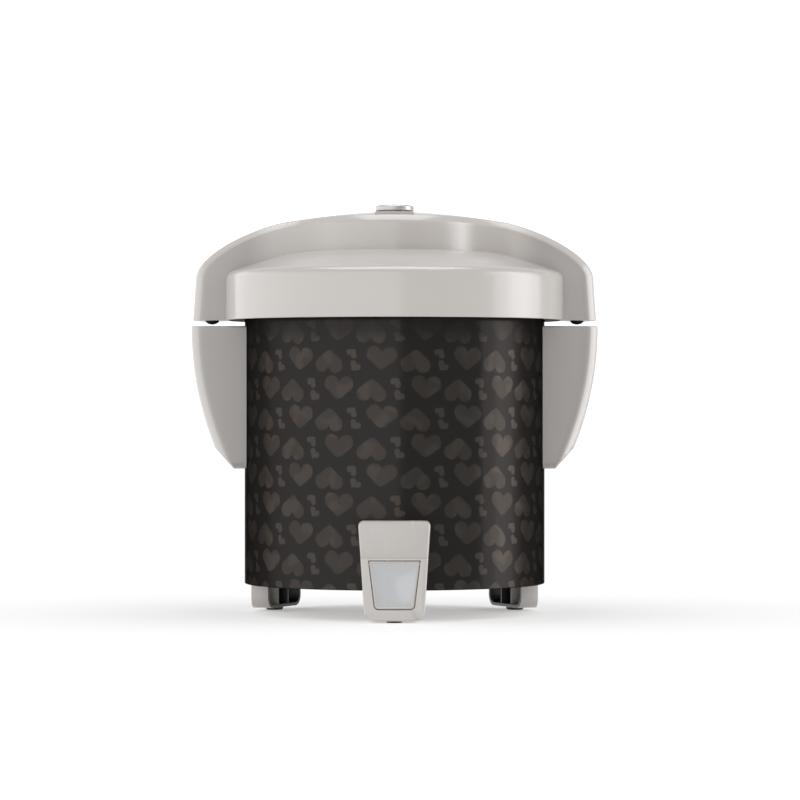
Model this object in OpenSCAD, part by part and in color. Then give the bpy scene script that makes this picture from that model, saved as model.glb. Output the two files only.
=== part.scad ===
// Round rice cooker: printed steel drum, arched lid, side handles, and a cook
// paddle in the front foot. Millimetres, +Z up, front towards -Y. The origin is
// on the table, under the middle of the pot.

/* [Body] */
// Outer radius of the round body
body_r = 120; // [100:1:145]
// Height of the body's lower edge above the table
body_z = 24; // [20:1:34]
// Height of the lid's lower edge above the table
lid_z = 234; // [195:1:285]
// Thickness of the sheet steel body
shell_t = 1; // [0.6:0.1:2]
// Thickness of the base pan
pan_t = 2.5; // [2:0.5:5]

/* [Pot] */
// Radial distance from the body's outside to the pot's outside
pot_inset = 18.5; // [15:0.5:30]
// Wall of the inner pot
pot_t = 1.6; // [1:0.1:3]
// Radius of the pot's bottom corner
pot_corner = 18; // [8:1:30]
// Width of the pot's flange
pot_flange = 8; // [5:0.5:9]
// Thickness of the pot's flange
flange_t = 1.2; // [0.8:0.1:2]
// Radial gap between the pot and the liner around it
pot_gap = 5.7; // [3:0.1:8]

/* [Heating] */
// Height of the heating plate's top above the table
plate_z = 84; // [80:1:102]
// Thickness of the heating plate
plate_t = 14; // [10:1:18]
// Radius of the heating plate
plate_r = 82; // [60:1:84]
// Radius of the sensor cap
sensor_r = 16.5; // [14:0.5:20]
// Travel of the sensor cap
sensor_travel = 2; // [1:0.5:3]
// Travel of the magnet plunger
magnet_travel = 5.5; // [4:0.5:7]

/* [Lid] */
// How far the lid's skirt stands out past the body
skirt_over = 16.2; // [12:0.2:20]
// Height of the skirt's straight wall
skirt_h = 34; // [26:1:40]
// Height of the lid's dome above its lower edge
dome_h = 54.5; // [46:0.5:66]
// Wall of the lid's mouldings
lid_t = 2.5; // [2:0.1:3.5]
// How far the wings stand out past the skirt
wing_over = 25.1; // [20:0.5:30]
// Height of the arch above the lid's lower edge
arch_h = 88.6; // [80:0.5:100]
// Half width of the wings, front to back
wing_half = 25.6; // [20:0.5:30]
// Radius of the arch's front bulge in plan
bulge_r = 77.6; // [65:1:85]
// Radius of the hollow between the bulge and each wing in plan
hollow_r = 56; // [40:1:65]
// Corner cut of the wings and handles in plan
corner_cut = 7; // [3:0.5:9]
// Radius of the steam cap
cap_r = 15.3; // [12:0.1:18]
// Height that the steam cap stands above the arch
cap_h = 4.2; // [3:0.2:8]

/* [Handles] */
// Height of the handle's flat foot above the table
handle_foot_z = 116; // [110:1:130]
// Gap between the lid's wings and the handle tops
wing_gap = 4.7; // [4.2:0.1:8]
// Wall of the handles
handle_t = 3; // [2:0.5:4]

/* [Switch] */
// Distance that the switch housing stands in front of the body
switch_out = 14; // [12:0.5:18]
// Height of the switch housing's top above the table
switch_z = 78; // [74:1:90]
// Half width of the switch housing at its top
switch_half = 27.8; // [26:0.1:32]
// Half width of the switch housing near the table
switch_foot_half = 22.8; // [22:0.1:28]
// Height of the seam between the upper and the lower moulding
seam_z = 49.7; // [49:0.1:54]
// Wall of the switch housing
switch_t = 2.8; // [2:0.1:3.5]
// Half width of the cook paddle at its top
paddle_half = 19.6; // [16:0.1:20]
// Half width of the cook paddle at its foot
paddle_foot_half = 15.2; // [12:0.1:18]
// Height of the cook paddle
paddle_h = 36.9; // [30:0.1:38]

/* [Legs] */
// Angle of the rear legs behind the side axis
leg_angle = 24; // [15:1:40]
// Width of a rear leg along the rim
leg_w = 61; // [45:1:70]
// Depth of a rear leg towards the middle
leg_d = 19; // [15:1:26]
// Wall of the legs
leg_t = 2.5; // [2:0.1:3.5]
// Radius of the rear rubber pads
pad_r = 7; // [5:0.5:8]
// Height that the rear rubber pads stand out of the legs
pad_h = 2.5; // [2:0.1:4]
// Height that the front rubber pad stands out of the switch housing
front_pad_h = 1.3; // [1:0.1:2]

/* [Hidden] */
$fn = 96;
// Small gaps: a hinge in its pin, loose neighbours, a moving part in its hole
run_gap = 0.05;
fit_gap = 0.3;
slot_gap = 0.5;
eps = 0.01;

// Body, liner and pot
shell_top = lid_z + 2;
ring_top = shell_top + 4;
ring_ledge = ring_top - flange_t + 0.1;
pot_r = body_r - pot_inset;
liner_r = pot_r + pot_gap;
liner_t = 0.8;
liner_z = plate_z - plate_t - 12;
pan_top = body_z + pan_t;
pan_r = body_r - shell_t - 0.1;
flange_r = pot_r + pot_flange;

// Lid: the skirt sits round the body, the arch crosses it and ends in two wings
skirt_r = body_r + skirt_over;
skirt_in = skirt_r - lid_t;
wing_r = skirt_r + wing_over;
handle_r = wing_r + 1.3;
handle_top = lid_z - wing_gap;
liner_floor = lid_z + 8;
hinge_y = skirt_r - 9.2;
hinge_z = lid_z + 2;
hinge_pin_r = 2;
hinge_lug_r = 4.3;

// Latch and button
button_y = -(bulge_r - 27.6);
button_half = [15, 6];
button_z = lid_z + arch_h - 4.1;
latch_y = -(body_r - 4);
latch_z = lid_z + 28;
latch_pin_r = 1.5;
hook_out = -(body_r + 10);
catch_reach = 5;
catch_z = ring_top - 3.5;
catch_half = 9;
stem_r = 2.5;

// Switch
front_y = -(body_r + switch_out);
switch_in_y = front_y + switch_t;
paddle_top = seam_z - 2.3;
paddle_y = front_y + 0.8;
paddle_t = 2.2;
pivot_y = front_y + 4.7;
pivot_z = paddle_top - 2.9;
pivot_pin_r = 1.2;
lever_y = -body_r / 2;
lever_z = liner_z - 6.5;
lever_pin_r = 2;
lever_half = 4;
lever_tip_z = paddle_top - 9.4;
tab_y = front_y + 7.7;
foot_back = 34;
plunger_z = lever_z + 2.5;
ferrite_z = plate_z - 8;
magnet_t = 4;
magnet_z = ferrite_z - magnet_t - magnet_travel - sensor_travel - fit_gap;
housing_floor = plate_z - 22;

// Hardware
screw_r = 1.5;
head_r = 3.5;
inlet_z = (pan_top + liner_z) / 2;
inlet_half = [17, 11];
pin_z = inlet_z - 5;

function bez(a, b, c, d, n) = [for (i = [0 : n])
    let (t = i / n, s = 1 - t)
    s * s * s * a + 3 * s * s * t * b + 3 * s * t * t * c + t * t * t * d];
function shrink(path, t) = [for (q = path) [max(q.x - t, 0), q.y - t]];
function arc(c, r, a0, a1, n) = [for (i = [0 : n])
    let (a = a0 + (a1 - a0) * i / n) c + r * [cos(a), sin(a)]];

// Half outline of the lid's dome and skirt, from the axis outwards and down
dome_line = concat(
    [[0, lid_z + dome_h]],
    bez([skirt_r - 65, lid_z + dome_h], [skirt_r - 44, lid_z + dome_h],
        [skirt_r - 24, lid_z + skirt_h + 10.5], [skirt_r - 10, lid_z + skirt_h + 6.6], 7),
    bez([skirt_r - 9.6, lid_z + skirt_h + 6.5], [skirt_r - 4, lid_z + skirt_h + 5],
        [skirt_r, lid_z + skirt_h + 3.6], [skirt_r, lid_z + skirt_h - 2], 5));
// Half outline of the arch, from the axis outwards and down to the wing's foot
arch_line = concat(
    bez([0, lid_z + arch_h], [30, lid_z + arch_h - 1.6],
        [58, lid_z + arch_h - 5], [wing_r - 76, lid_z + arch_h - 9.3], 5),
    bez([wing_r - 75, lid_z + arch_h - 9.45], [wing_r - 49, lid_z + arch_h - 13.6],
        [wing_r - 4.3, lid_z + arch_h - 34.6], [wing_r - 2.4, lid_z + arch_h - 53.6], 8),
    [[wing_r, lid_z]]);
// Half outline of a handle, from its top outwards and down to its flat foot
kink = [handle_r - 18.1, handle_foot_z + 18.6];
handle_line = concat(
    [[handle_r, handle_top]],
    bez([handle_r, handle_top - 24], [handle_r - 1, handle_top - 50],
        [handle_r - 9, handle_foot_z + 37], kink, 7),
    [[body_r + 7.6, handle_foot_z]]);

module ring(r1, r2, z1, z2) {
    rotate_extrude()
        translate([r1, z1])
            square([r2 - r1, z2 - z1]);
}
module disc(r, z1, z2) {
    translate([0, 0, z1])
        cylinder(r = r, h = z2 - z1);
}
module rod(r, x, y, z1, z2) {
    translate([x, y, z1])
        cylinder(r = r, h = z2 - z1);
}
module rod_x(r, x1, x2, y, z) {
    translate([x1, y, z])
        rotate([0, 90, 0])
            cylinder(r = r, h = x2 - x1);
}
module slab(a, b) {
    translate(a)
        cube(b - a);
}
// A front outline in x and z, from y1 back to y2
module front_prism(points, y1, y2) {
    translate([0, y2, 0])
        rotate([90, 0, 0])
            linear_extrude(y2 - y1)
                polygon(points);
}
// A side outline in y and z, from x1 to x2
module side_prism(points, x1, x2) {
    translate([x1, 0, 0])
        rotate([90, 0, 90])
            linear_extrude(x2 - x1)
                polygon(points);
}
// A wire coil standing on z1, as one closed tube that follows the helix
module coil(r, wire, z1, z2, turns) {
    sides = 6;
    steps = 14 * turns;
    points = [for (i = [0 : steps], k = [0 : sides - 1])
        let (a = 360 * turns * i / steps, b = 360 * k / sides,
             q = r + wire / 2 * cos(b),
             h = z1 + wire / 2 + (z2 - z1 - wire) * i / steps + wire / 2 * sin(b))
        [q * cos(a), q * sin(a), h]];
    walls = [for (i = [0 : steps - 1], k = [0 : sides - 1])
        let (n = (k + 1) % sides)
        [i * sides + k, (i + 1) * sides + k, (i + 1) * sides + n, i * sides + n]];
    ends = [[for (k = [0 : sides - 1]) k],
            [for (k = [sides - 1 : -1 : 0]) steps * sides + k]];
    polyhedron(points, concat(walls, ends));
}
module pan_screw(z1, z2, z3) {
    rod(head_r, 0, 0, z1, z2);
    rod(screw_r, 0, 0, z2 - eps, z3);
}

// --- Body ---
module body_shell() {
    color([0.2, 0.2, 0.2])
        difference() {
            union() {
                ring(body_r - shell_t, body_r, body_z, shell_top);
                ring(liner_r + 6.5, body_r - shell_t / 2, shell_top - shell_t, shell_top);
            }
            // Way in for the lever
            slab([-lever_half - 3, -body_r - 5, pan_top + 1],
                 [lever_half + 3, -body_r + 12, seam_z + 4]);
            // Seat of the power inlet
            slab([-inlet_half.x - 0.1, body_r - 12, inlet_z - inlet_half.y - 0.1],
                 [inlet_half.x + 0.1, body_r + 5, inlet_z + inlet_half.y + 0.1]);
            handle_screw_places()
                rod(screw_r + 0.1, 0, 0, -10, 10);
        }
}
module base_pan() {
    color([0.62, 0.61, 0.6])
        difference() {
            union() {
                disc(pan_r, body_z, pan_top);
                ring(pan_r - 1.6, pan_r, body_z, pan_top + 6);
                leg_screw_places()
                    rod(4, 0, 0, pan_top - eps, pan_top + 7);
            }
            // Cooling slots
            for (a = [0 : 30 : 330], r = [34, 46])
                rotate([0, 0, a])
                    slab([r, -3, body_z - 1], [r + 8, 3, pan_top + 1]);
            leg_screw_places()
                rod(screw_r + run_gap, 0, 0, body_z - 1, pan_top + 5);
            slab([-inlet_half.x - 1, body_r - 12, pan_top],
                 [inlet_half.x + 1, body_r + 1, pan_top + 7]);
            slab([-lever_half - 4, -body_r - 1, pan_top],
                 [lever_half + 4, -body_r + 12, pan_top + 7]);
        }
}
module inner_liner() {
    floor_hole = 44;
    color([0.75, 0.75, 0.76])
        difference() {
            union() {
                ring(liner_r - liner_t, liner_r, liner_z, shell_top);
                ring(floor_hole, liner_r, liner_z, liner_z + liner_t);
                ring(liner_r - liner_t, liner_r + 6.3, shell_top - liner_t, shell_top);
            }
            plate_screw_places()
                rod(screw_r + run_gap, 0, 0, liner_z - 1, liner_z + 2);
            heater_terminal_places()
                rod(4, 0, 0, liner_z - 1, liner_z + 2);
        }
}
module top_ring() {
    lip_r = flange_r + slot_gap;
    lug_in = 14.5;
    lug_out = 21;
    color([0.2, 0.2, 0.2])
        difference() {
            union() {
                rotate_extrude()
                    polygon([[pot_r + 3, shell_top], [body_r, shell_top], [body_r, ring_top],
                             [lip_r, ring_top], [lip_r, ring_ledge], [pot_r + 3, ring_ledge]]);
                for (side = [-1, 1]) {
                    x1 = side > 0 ? lug_in : -lug_out;
                    x2 = side > 0 ? lug_out : -lug_in;
                    rod_x(hinge_lug_r, x1, x2, hinge_y, hinge_z);
                    difference() {
                        slab([x1, body_r - 8, hinge_z - 3], [x2, hinge_y, hinge_z + 3]);
                        disc(body_r + fit_gap, shell_top - 20, shell_top);
                    }
                }
            }
            rod_x(hinge_pin_r, -lug_out - 1, lug_out + 1, hinge_y, hinge_z);
            slab([-catch_half, -body_r - 1, catch_z], [catch_half, -body_r + 6, catch_z + 2]);
        }
}
module catch_plate() {
    color("silver")
        slab([-catch_half, -body_r - catch_reach, catch_z], [catch_half, -body_r + 6, catch_z + 2]);
}
module hinge_pin() {
    color("silver")
        rod_x(hinge_pin_r, -22, 22, hinge_y, hinge_z);
}
module hinge_spring() {
    wire = 1;
    turns = 8;
    color("silver")
        translate([-turns * wire / 2, hinge_y, hinge_z])
            rotate([0, 90, 0])
                rotate_extrude()
                    for (i = [0 : turns - 1])
                        translate([hinge_pin_r + 1, wire * (i + 0.5)]) {
                            circle(d = wire * 1.04, $fn = 24);
                            translate([-wire / 4, -wire / 2])
                                square([wire / 2, wire]);
                        }
}
// --- Handles ---
module handle_plan() {
    w = wing_half;
    c = corner_cut;
    far = handle_r + 5;
    tip = sqrt(handle_r * handle_r - w * w);
    polygon([[0, -w], [tip - c, -w], [tip + 1, -w + c + 1], [far, 0], [tip + 1, w - c - 1],
             [tip - c, w], [0, w]]);
}
module handle_inside() {
    t = handle_t;
    path = shrink(handle_line, t);
    n = len(path);
    rotate_extrude()
        polygon(concat([[body_r + t + 0.5, handle_top - t]],
                       [for (i = [0 : n - 2]) i == 0 ? [path[0].x, handle_top - t] : path[i]],
                       [[kink.x - t, handle_foot_z - 9], [body_r + t + 0.5, handle_foot_z - 9]]));
}
module side_handle() {
    w = wing_half - handle_t;
    color([0.76, 0.75, 0.74])
        difference() {
            intersection() {
                rotate_extrude()
                    polygon(concat([[body_r, handle_top]], handle_line, [[body_r, handle_foot_z]]));
                translate([0, 0, handle_foot_z - 1])
                    linear_extrude(handle_top - handle_foot_z + 2)
                        handle_plan();
            }
            intersection() {
                handle_inside();
                slab([0, -w, handle_foot_z - 9], [handle_r, w, handle_top]);
            }
            for (z = handle_screw_z, y = handle_screw_y)
                rod_across(screw_r + run_gap, body_r - 1, body_r + handle_t, y, z);
        }
}
module rod_across(r, u1, u2, y, z) {
    rotate([0, 0, asin(y / body_r)])
        rod_x(r, u1, u2, 0, z);
}
handle_screw_z = [handle_foot_z + 18, handle_top - 14];
handle_screw_y = [-14, 14];
module handle_screw_places() {
    for (side = [0, 180], z = handle_screw_z, y = handle_screw_y)
        rotate([0, 0, side + asin(y / body_r)])
            translate([body_r, 0, z])
                rotate([0, 90, 0])
                    children();
}
module left_handle() {
    mirror([1, 0, 0])
        side_handle();
}
module right_handle() {
    side_handle();
}
module handle_screws() {
    color("silver")
        handle_screw_places() {
            rod(head_r, 0, 0, -shell_t - 2.6, -shell_t - 0.2);
            rod(screw_r, 0, 0, -shell_t - 0.3, handle_t);
        }
}
// --- Legs ---
module leg_at(side) {
    rotate([0, 0, side > 0 ? leg_angle : 180 - leg_angle])
        children();
}
module leg_screw_places() {
    for (side = [-1, 1], v = [-1, 1])
        leg_at(side)
            translate([body_r - 3 - leg_d / 2, v * (leg_w / 2 - 9), 0])
                children();
}
module leg_outline(w, z1, z2, r) {
    polygon(concat([[w, z2], [-w, z2]], arc([-w + r, z1 + r], r, 180, 270, 6),
                   arc([w - r, z1 + r], r, 270, 360, 6)));
}
module leg(side) {
    u2 = body_r - 3;
    u1 = u2 - leg_d;
    half = leg_w / 2;
    color([0.76, 0.75, 0.74])
        difference() {
            leg_at(side)
                difference() {
                    intersection() {
                        translate([u1, 0, 0])
                            rotate([90, 0, 90])
                                linear_extrude(leg_d + 3)
                                    leg_outline(half, pad_h, body_z, 9);
                        disc(u2, 0, body_z + 1);
                    }
                    difference() {
                        intersection() {
                            translate([u1 - 1, 0, 0])
                                rotate([90, 0, 90])
                                    linear_extrude(leg_d + 1)
                                        leg_outline(half - leg_t, pad_h + leg_t, body_z - leg_t, 7);
                            disc(u2 - leg_t, 0, body_z + 1);
                        }
                        for (v = [-1, 1])
                            slab([u1 + 1, v * 9 - 0.8, 0], [u2, v * 9 + 0.8, body_z]);
                    }
                    rod(3, pad_u, 0, 0, pad_h + leg_t + 1);
                }
            leg_screw_places()
                rod(screw_r + run_gap, 0, 0, 0, body_z + 1);
        }
}
pad_u = body_r - 3 - leg_d / 2 - 0.5;
module leg_pad(side) {
    color([0.12, 0.12, 0.12])
        leg_at(side)
            translate([pad_u, 0, 0])
                rotate_extrude()
                    polygon([[0, 0], [pad_r - 1, 0], [pad_r, 1], [pad_r, pad_h], [2.9, pad_h],
                             [2.9, pad_h + leg_t + 0.8], [0, pad_h + leg_t + 0.8]]);
}
module rear_left_leg() {
    leg(-1);
}
module rear_right_leg() {
    leg(1);
}
module rear_left_pad() {
    leg_pad(-1);
}
module rear_right_pad() {
    leg_pad(1);
}
module leg_screws() {
    color("silver")
        leg_screw_places()
            pan_screw(body_z - leg_t - 2, body_z - leg_t, pan_top + 4);
}
module front_pad() {
    color([0.12, 0.12, 0.12])
        translate([0, front_y + 8, 0])
            rotate_extrude()
                polygon([[0, 0], [5.5, 0], [6, 0.5], [6, front_pad_h], [2.4, front_pad_h],
                         [2.4, front_pad_h + switch_t + 0.8], [0, front_pad_h + switch_t + 0.8]]);
}
// --- Switch housing ---
function switch_w(z) = switch_foot_half
    + (switch_half - switch_foot_half) * (z - front_pad_h) / (switch_z - front_pad_h);
function housing_top(t) = concat(
    [[switch_w(seam_z) - t, seam_z]],
    arc([switch_half - 4.2, switch_z - 4], 4 - t, 0, 90, 5),
    arc([-switch_half + 4.2, switch_z - 4], 4 - t, 90, 180, 5),
    [[-switch_w(seam_z) + t, seam_z]]);
function housing_foot(t, z) = concat(
    [[-switch_w(z) + t, z]],
    arc([-switch_w(10) + 9, front_pad_h + 9], 9 - t, 180, 270, 7),
    arc([switch_w(10) - 9, front_pad_h + 9], 9 - t, 270, 360, 7),
    [[switch_w(z) - t, z]]);
function paddle_outline(g) = [
    [-paddle_half - g, paddle_top + g], [-paddle_foot_half - g, paddle_top - paddle_h + 1.5],
    [-paddle_foot_half + 2, paddle_top - paddle_h - g],
    [paddle_foot_half - 2, paddle_top - paddle_h - g],
    [paddle_foot_half + g, paddle_top - paddle_h + 1.5], [paddle_half + g, paddle_top + g]];
module switch_housing() {
    color([0.75, 0.74, 0.73])
        difference() {
            front_prism(housing_top(0), front_y, -body_r + 10);
            front_prism(concat([[switch_w(seam_z) - switch_t, seam_z - 1]],
                               housing_top(switch_t),
                               [[-switch_w(seam_z) + switch_t, seam_z - 1]]),
                        switch_in_y, 0);
            disc(body_r, 0, switch_z + 1);
        }
}
module switch_cover() {
    back = front_y + foot_back;
    rib_z = [pivot_z - 3, pivot_z + 2.8];
    color([0.78, 0.77, 0.76])
        difference() {
            union() {
                difference() {
                    front_prism(housing_foot(0, seam_z), front_y, back);
                    front_prism(housing_foot(switch_t, seam_z + 1), switch_in_y, back - switch_t);
                    disc(body_r, body_z, seam_z + 5);
                    front_prism(paddle_outline(slot_gap), front_y - 1, switch_in_y + 1);
                }
                for (side = [-1, 1])
                    slab([side > 0 ? paddle_half + 0.8 : -switch_w(pivot_z) + 1,
                          switch_in_y - 1, rib_z[0]],
                         [side > 0 ? switch_w(pivot_z) - 1 : -paddle_half - 0.8,
                          pivot_y + 3, rib_z[1]]);
            }
            rod_x(pivot_pin_r + run_gap, -paddle_half - 3, paddle_half + 3, pivot_y, pivot_z);
            rod(2.5, 0, front_y + 8, 0, front_pad_h + switch_t + 1);
        }
}
module cook_paddle() {
    color([0.72, 0.73, 0.75])
        difference() {
            union() {
                front_prism(paddle_outline(0), paddle_y, paddle_y + paddle_t);
                for (x = [-15, 12])
                    slab([x, paddle_y + paddle_t - 0.5, pivot_z - 2.6],
                         [x + 3, pivot_y + 2.6, pivot_z + 2.6]);
                // Tab that works the lever
                slab([-4, paddle_y + paddle_t - 0.5, lever_tip_z - 2], [4, tab_y, lever_tip_z + 2]);
            }
            rod_x(pivot_pin_r + run_gap, -20, 20, pivot_y, pivot_z);
        }
}
module paddle_pin() {
    color("silver")
        rod_x(pivot_pin_r, -paddle_half - 2.8, paddle_half + 2.8, pivot_y, pivot_z);
}
board_y = switch_in_y + 5;
board_z = seam_z + 5;
module lamp_board() {
    color([0.2, 0.42, 0.28])
        slab([-17, board_y, board_z], [17, board_y + 1.6, switch_z - 6]);
}
module lamp(x, tint) {
    color(tint)
        translate([x, board_y, board_z + 9])
            rotate([90, 0, 0]) {
                cylinder(r = 2.5, h = 2.4);
                translate([0, 0, 2.4])
                    sphere(r = 2.5);
            }
}
module cook_lamp() {
    lamp(-8, [0.8, 0.2, 0.1]);
}
module warm_lamp() {
    lamp(8, [0.9, 0.6, 0.1]);
}
// --- Heating ---
module plate_screw_places() {
    for (a = [90, 210, 330])
        rotate([0, 0, a])
            translate([plate_r - 8, 0, 0])
                children();
}
module heater_terminal_places() {
    for (a = [15, -15])
        rotate([0, 0, 60 + a])
            translate([plate_r - 22, 0, 0])
                children();
}
module heating_plate() {
    color([0.7, 0.71, 0.72])
        difference() {
            union() {
                disc(plate_r, plate_z - 8, plate_z);
                disc(plate_r - 14, plate_z - plate_t, plate_z - 7);
                plate_screw_places()
                    rod(5, 0, 0, plate_z - plate_t, plate_z - 7);
            }
            disc(sensor_r + 1.5, plate_z - plate_t - 1, plate_z + 1);
            plate_screw_places()
                rod(screw_r, 0, 0, plate_z - plate_t - 1, plate_z - 4);
        }
}
module heater_element() {
    tube_r = 3.8;
    color([0.4, 0.4, 0.42]) {
        rotate_extrude()
            translate([plate_r - 22, plate_z - plate_t - tube_r])
                circle(r = tube_r, $fn = 32);
        heater_terminal_places()
            rod(2.6, 0, 0, liner_z - 6, plate_z - plate_t - tube_r);
    }
}
module plate_screws() {
    color("silver")
        plate_screw_places() {
            rod(head_r, 0, 0, liner_z - 2, liner_z);
            rod(screw_r, 0, 0, liner_z - eps, plate_z - 5);
            difference() {
                rod(4, 0, 0, liner_z + liner_t, plate_z - plate_t);
                rod(screw_r - eps, 0, 0, liner_z, plate_z);
            }
        }
}
module thermostat_housing() {
    tube_r = sensor_r - 1.9;
    arm = sensor_r + 12;
    color([0.68, 0.68, 0.66])
        difference() {
            union() {
                disc(tube_r, housing_floor, plate_z - 3.5);
                slab([-arm, -5, housing_floor], [arm, 5, housing_floor + 1.5]);
                for (side = [-1, 1])
                    rod(3, side * (arm - 4), 0, housing_floor, plate_z - plate_t);
            }
            disc(tube_r - 1.4, housing_floor + 1.5, plate_z);
            disc(3.2, housing_floor - 1, plate_z);
        }
}
module sensor_cap() {
    color([0.8, 0.8, 0.81])
        rotate_extrude()
            polygon([[0, plate_z - 0.1], [sensor_r - 1, plate_z - 0.1], [sensor_r, plate_z - 1.1],
                     [sensor_r, plate_z - 8], [sensor_r - 1, plate_z - 8],
                     [sensor_r - 1, plate_z - 1.3], [0, plate_z - 1.3]]);
}
module thermal_ferrite() {
    color([0.25, 0.25, 0.26])
        disc(sensor_r - 5.5, ferrite_z, plate_z - 1.3);
}
module sensor_spring() {
    color("silver")
        coil(sensor_r - 0.6, 0.9, housing_floor + 1.6, ferrite_z - 0.1, 4);
}
module magnet_plunger() {
    color([0.45, 0.45, 0.47]) {
        rod(2.5, 0, 0, plunger_z, magnet_z + 1);
        disc(sensor_r - 5.5, magnet_z, magnet_z + magnet_t);
    }
}
module magnet_spring() {
    color("silver")
        coil(sensor_r - 7.5, 0.8, magnet_z + magnet_t + 0.1, ferrite_z - sensor_travel - 0.2, 3);
}
module seesaw_lever() {
    y = lever_y;
    z = lever_z;
    tip = tab_y + slot_gap;
    color([0.7, 0.71, 0.72])
        difference() {
            side_prism([[tip, lever_tip_z - 2.5], [tip, lever_tip_z + 2.5], [tip + 6, lever_tip_z + 3],
                        [y - 8, z + 3.4], [y, z + 4], [4, z + 2], [4, z - 1.5], [y, z - 4],
                        [y - 8, z - 2.6], [tip + 6, lever_tip_z - 2]], -lever_half, lever_half);
            rod_x(lever_pin_r + run_gap, -lever_half - 1, lever_half + 1, y, z);
        }
}
module lever_bracket() {
    cheek = lever_half + 0.6;
    color([0.66, 0.67, 0.68])
        difference() {
            slab([-cheek - 1.6, lever_y - 8, pan_top], [cheek + 1.6, lever_y + 8, lever_z + 5]);
            slab([-cheek, lever_y - 9, pan_top + 2], [cheek, lever_y + 9, lever_z + 6]);
            rod_x(lever_pin_r + run_gap, -cheek - 3, cheek + 3, lever_y, lever_z);
        }
}
module lever_pin() {
    reach = lever_half + 4;
    color("silver") {
        rod_x(lever_pin_r, -reach, reach, lever_y, lever_z);
        rod_x(lever_pin_r + 1, reach - 1.2, reach, lever_y, lever_z);
    }
}
module microswitch() {
    color([0.15, 0.15, 0.16]) {
        slab([lever_half + 4, -body_r + 25, pan_top], [lever_half + 14, -body_r + 45, pan_top + 16]);
        rod(1.5, lever_half + 9, -body_r + 30, pan_top + 15.5, pan_top + 18);
    }
}
module thermal_fuse() {
    color([0.85, 0.83, 0.75]) {
        rod_x(2.2, 30, 54, 34, liner_z - 3.4);
        for (x = [24, 54])
            rod_x(0.6, x, x + 6, 34, liner_z - 3.4);
    }
}
module terminal_block() {
    color([0.88, 0.87, 0.82])
        difference() {
            slab([-18, body_r - 62, pan_top], [18, body_r - 48, pan_top + 14]);
            for (x = [-12, 0, 12])
                rod(3.2, x, body_r - 55, pan_top + 7, pan_top + 15);
        }
}
module keep_warm_band() {
    low = plate_z + 60;
    color([0.72, 0.66, 0.5]) {
        ring(liner_r + run_gap, liner_r + 1.6, low, low + 34);
        slab([-6, liner_r + 1, low + 6], [6, liner_r + 5, low + 28]);
    }
}
module power_inlet() {
    face = body_r + 2.4;
    color([0.12, 0.12, 0.12])
        difference() {
            union() {
                slab([-inlet_half.x, body_r - 22, inlet_z - inlet_half.y],
                     [inlet_half.x, face, inlet_z + inlet_half.y]);
                difference() {
                    slab([-inlet_half.x - 4, body_r - 8, inlet_z - inlet_half.y - 3],
                         [inlet_half.x + 4, face, inlet_z + inlet_half.y + 3]);
                    disc(body_r, 0, inlet_z + 40);
                }
            }
            slab([-inlet_half.x + 3, body_r - 18, inlet_z - inlet_half.y + 3],
                 [inlet_half.x - 3, face + 1, inlet_z + inlet_half.y - 3]);
            inlet_pin_bars();
        }
}
module inlet_pin_bars() {
    for (x = [-7, 0, 7])
        slab([x - 1, body_r - 26, pin_z - 2], [x + 1, body_r - 4, pin_z + 2]);
}
module inlet_pins() {
    color([0.8, 0.75, 0.5])
        inlet_pin_bars();
}
// Three sleeved wires from the terminal block to the inlet's pins
module wiring() {
    color([0.6, 0.1, 0.1])
        for (x = [-7, 0, 7])
            translate([x, body_r - 26, pin_z])
                rotate([90, 0, 0])
                    cylinder(r = 1.2, h = 22, $fn = 24);
}
module inner_pot() {
    z = plate_z;
    c = pot_corner;
    color([0.6, 0.6, 0.62])
        rotate_extrude()
            polygon(concat(
                [[0, z]], arc([pot_r - c, z + c], c, 270, 360, 8),
                [[pot_r, ring_ledge], [flange_r, ring_ledge], [flange_r, ring_ledge + flange_t],
                 [pot_r - pot_t, ring_ledge + flange_t]],
                arc([pot_r - c, z + c], c - pot_t, 360, 270, 8), [[0, z + pot_t]]));
}
dew_half = 32;
dew_top = lid_z - 12;
dew_floor = lid_z - 46;
dew_back = body_r + skirt_over - 0.4;
module dew_collector() {
    t = 1.8;
    near = body_r + fit_gap;
    color([0.75, 0.76, 0.78, 0.6])
        difference() {
            slab([-dew_half, body_r - 8, dew_floor], [dew_half, dew_back, dew_top]);
            difference() {
                slab([-dew_half + t, body_r - 9, dew_floor + t],
                     [dew_half - t, dew_back - t, dew_top + 1]);
                disc(near + t, dew_floor, dew_top + 1);
            }
            disc(near, dew_floor - 1, dew_top + 1);
        }
}
module dew_bracket() {
    color([0.2, 0.2, 0.2])
        difference() {
            slab([-20, body_r - 4, dew_floor - 4], [20, dew_back - 4, dew_floor - fit_gap]);
            disc(body_r, dew_floor - 5, dew_floor);
        }
}

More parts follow.
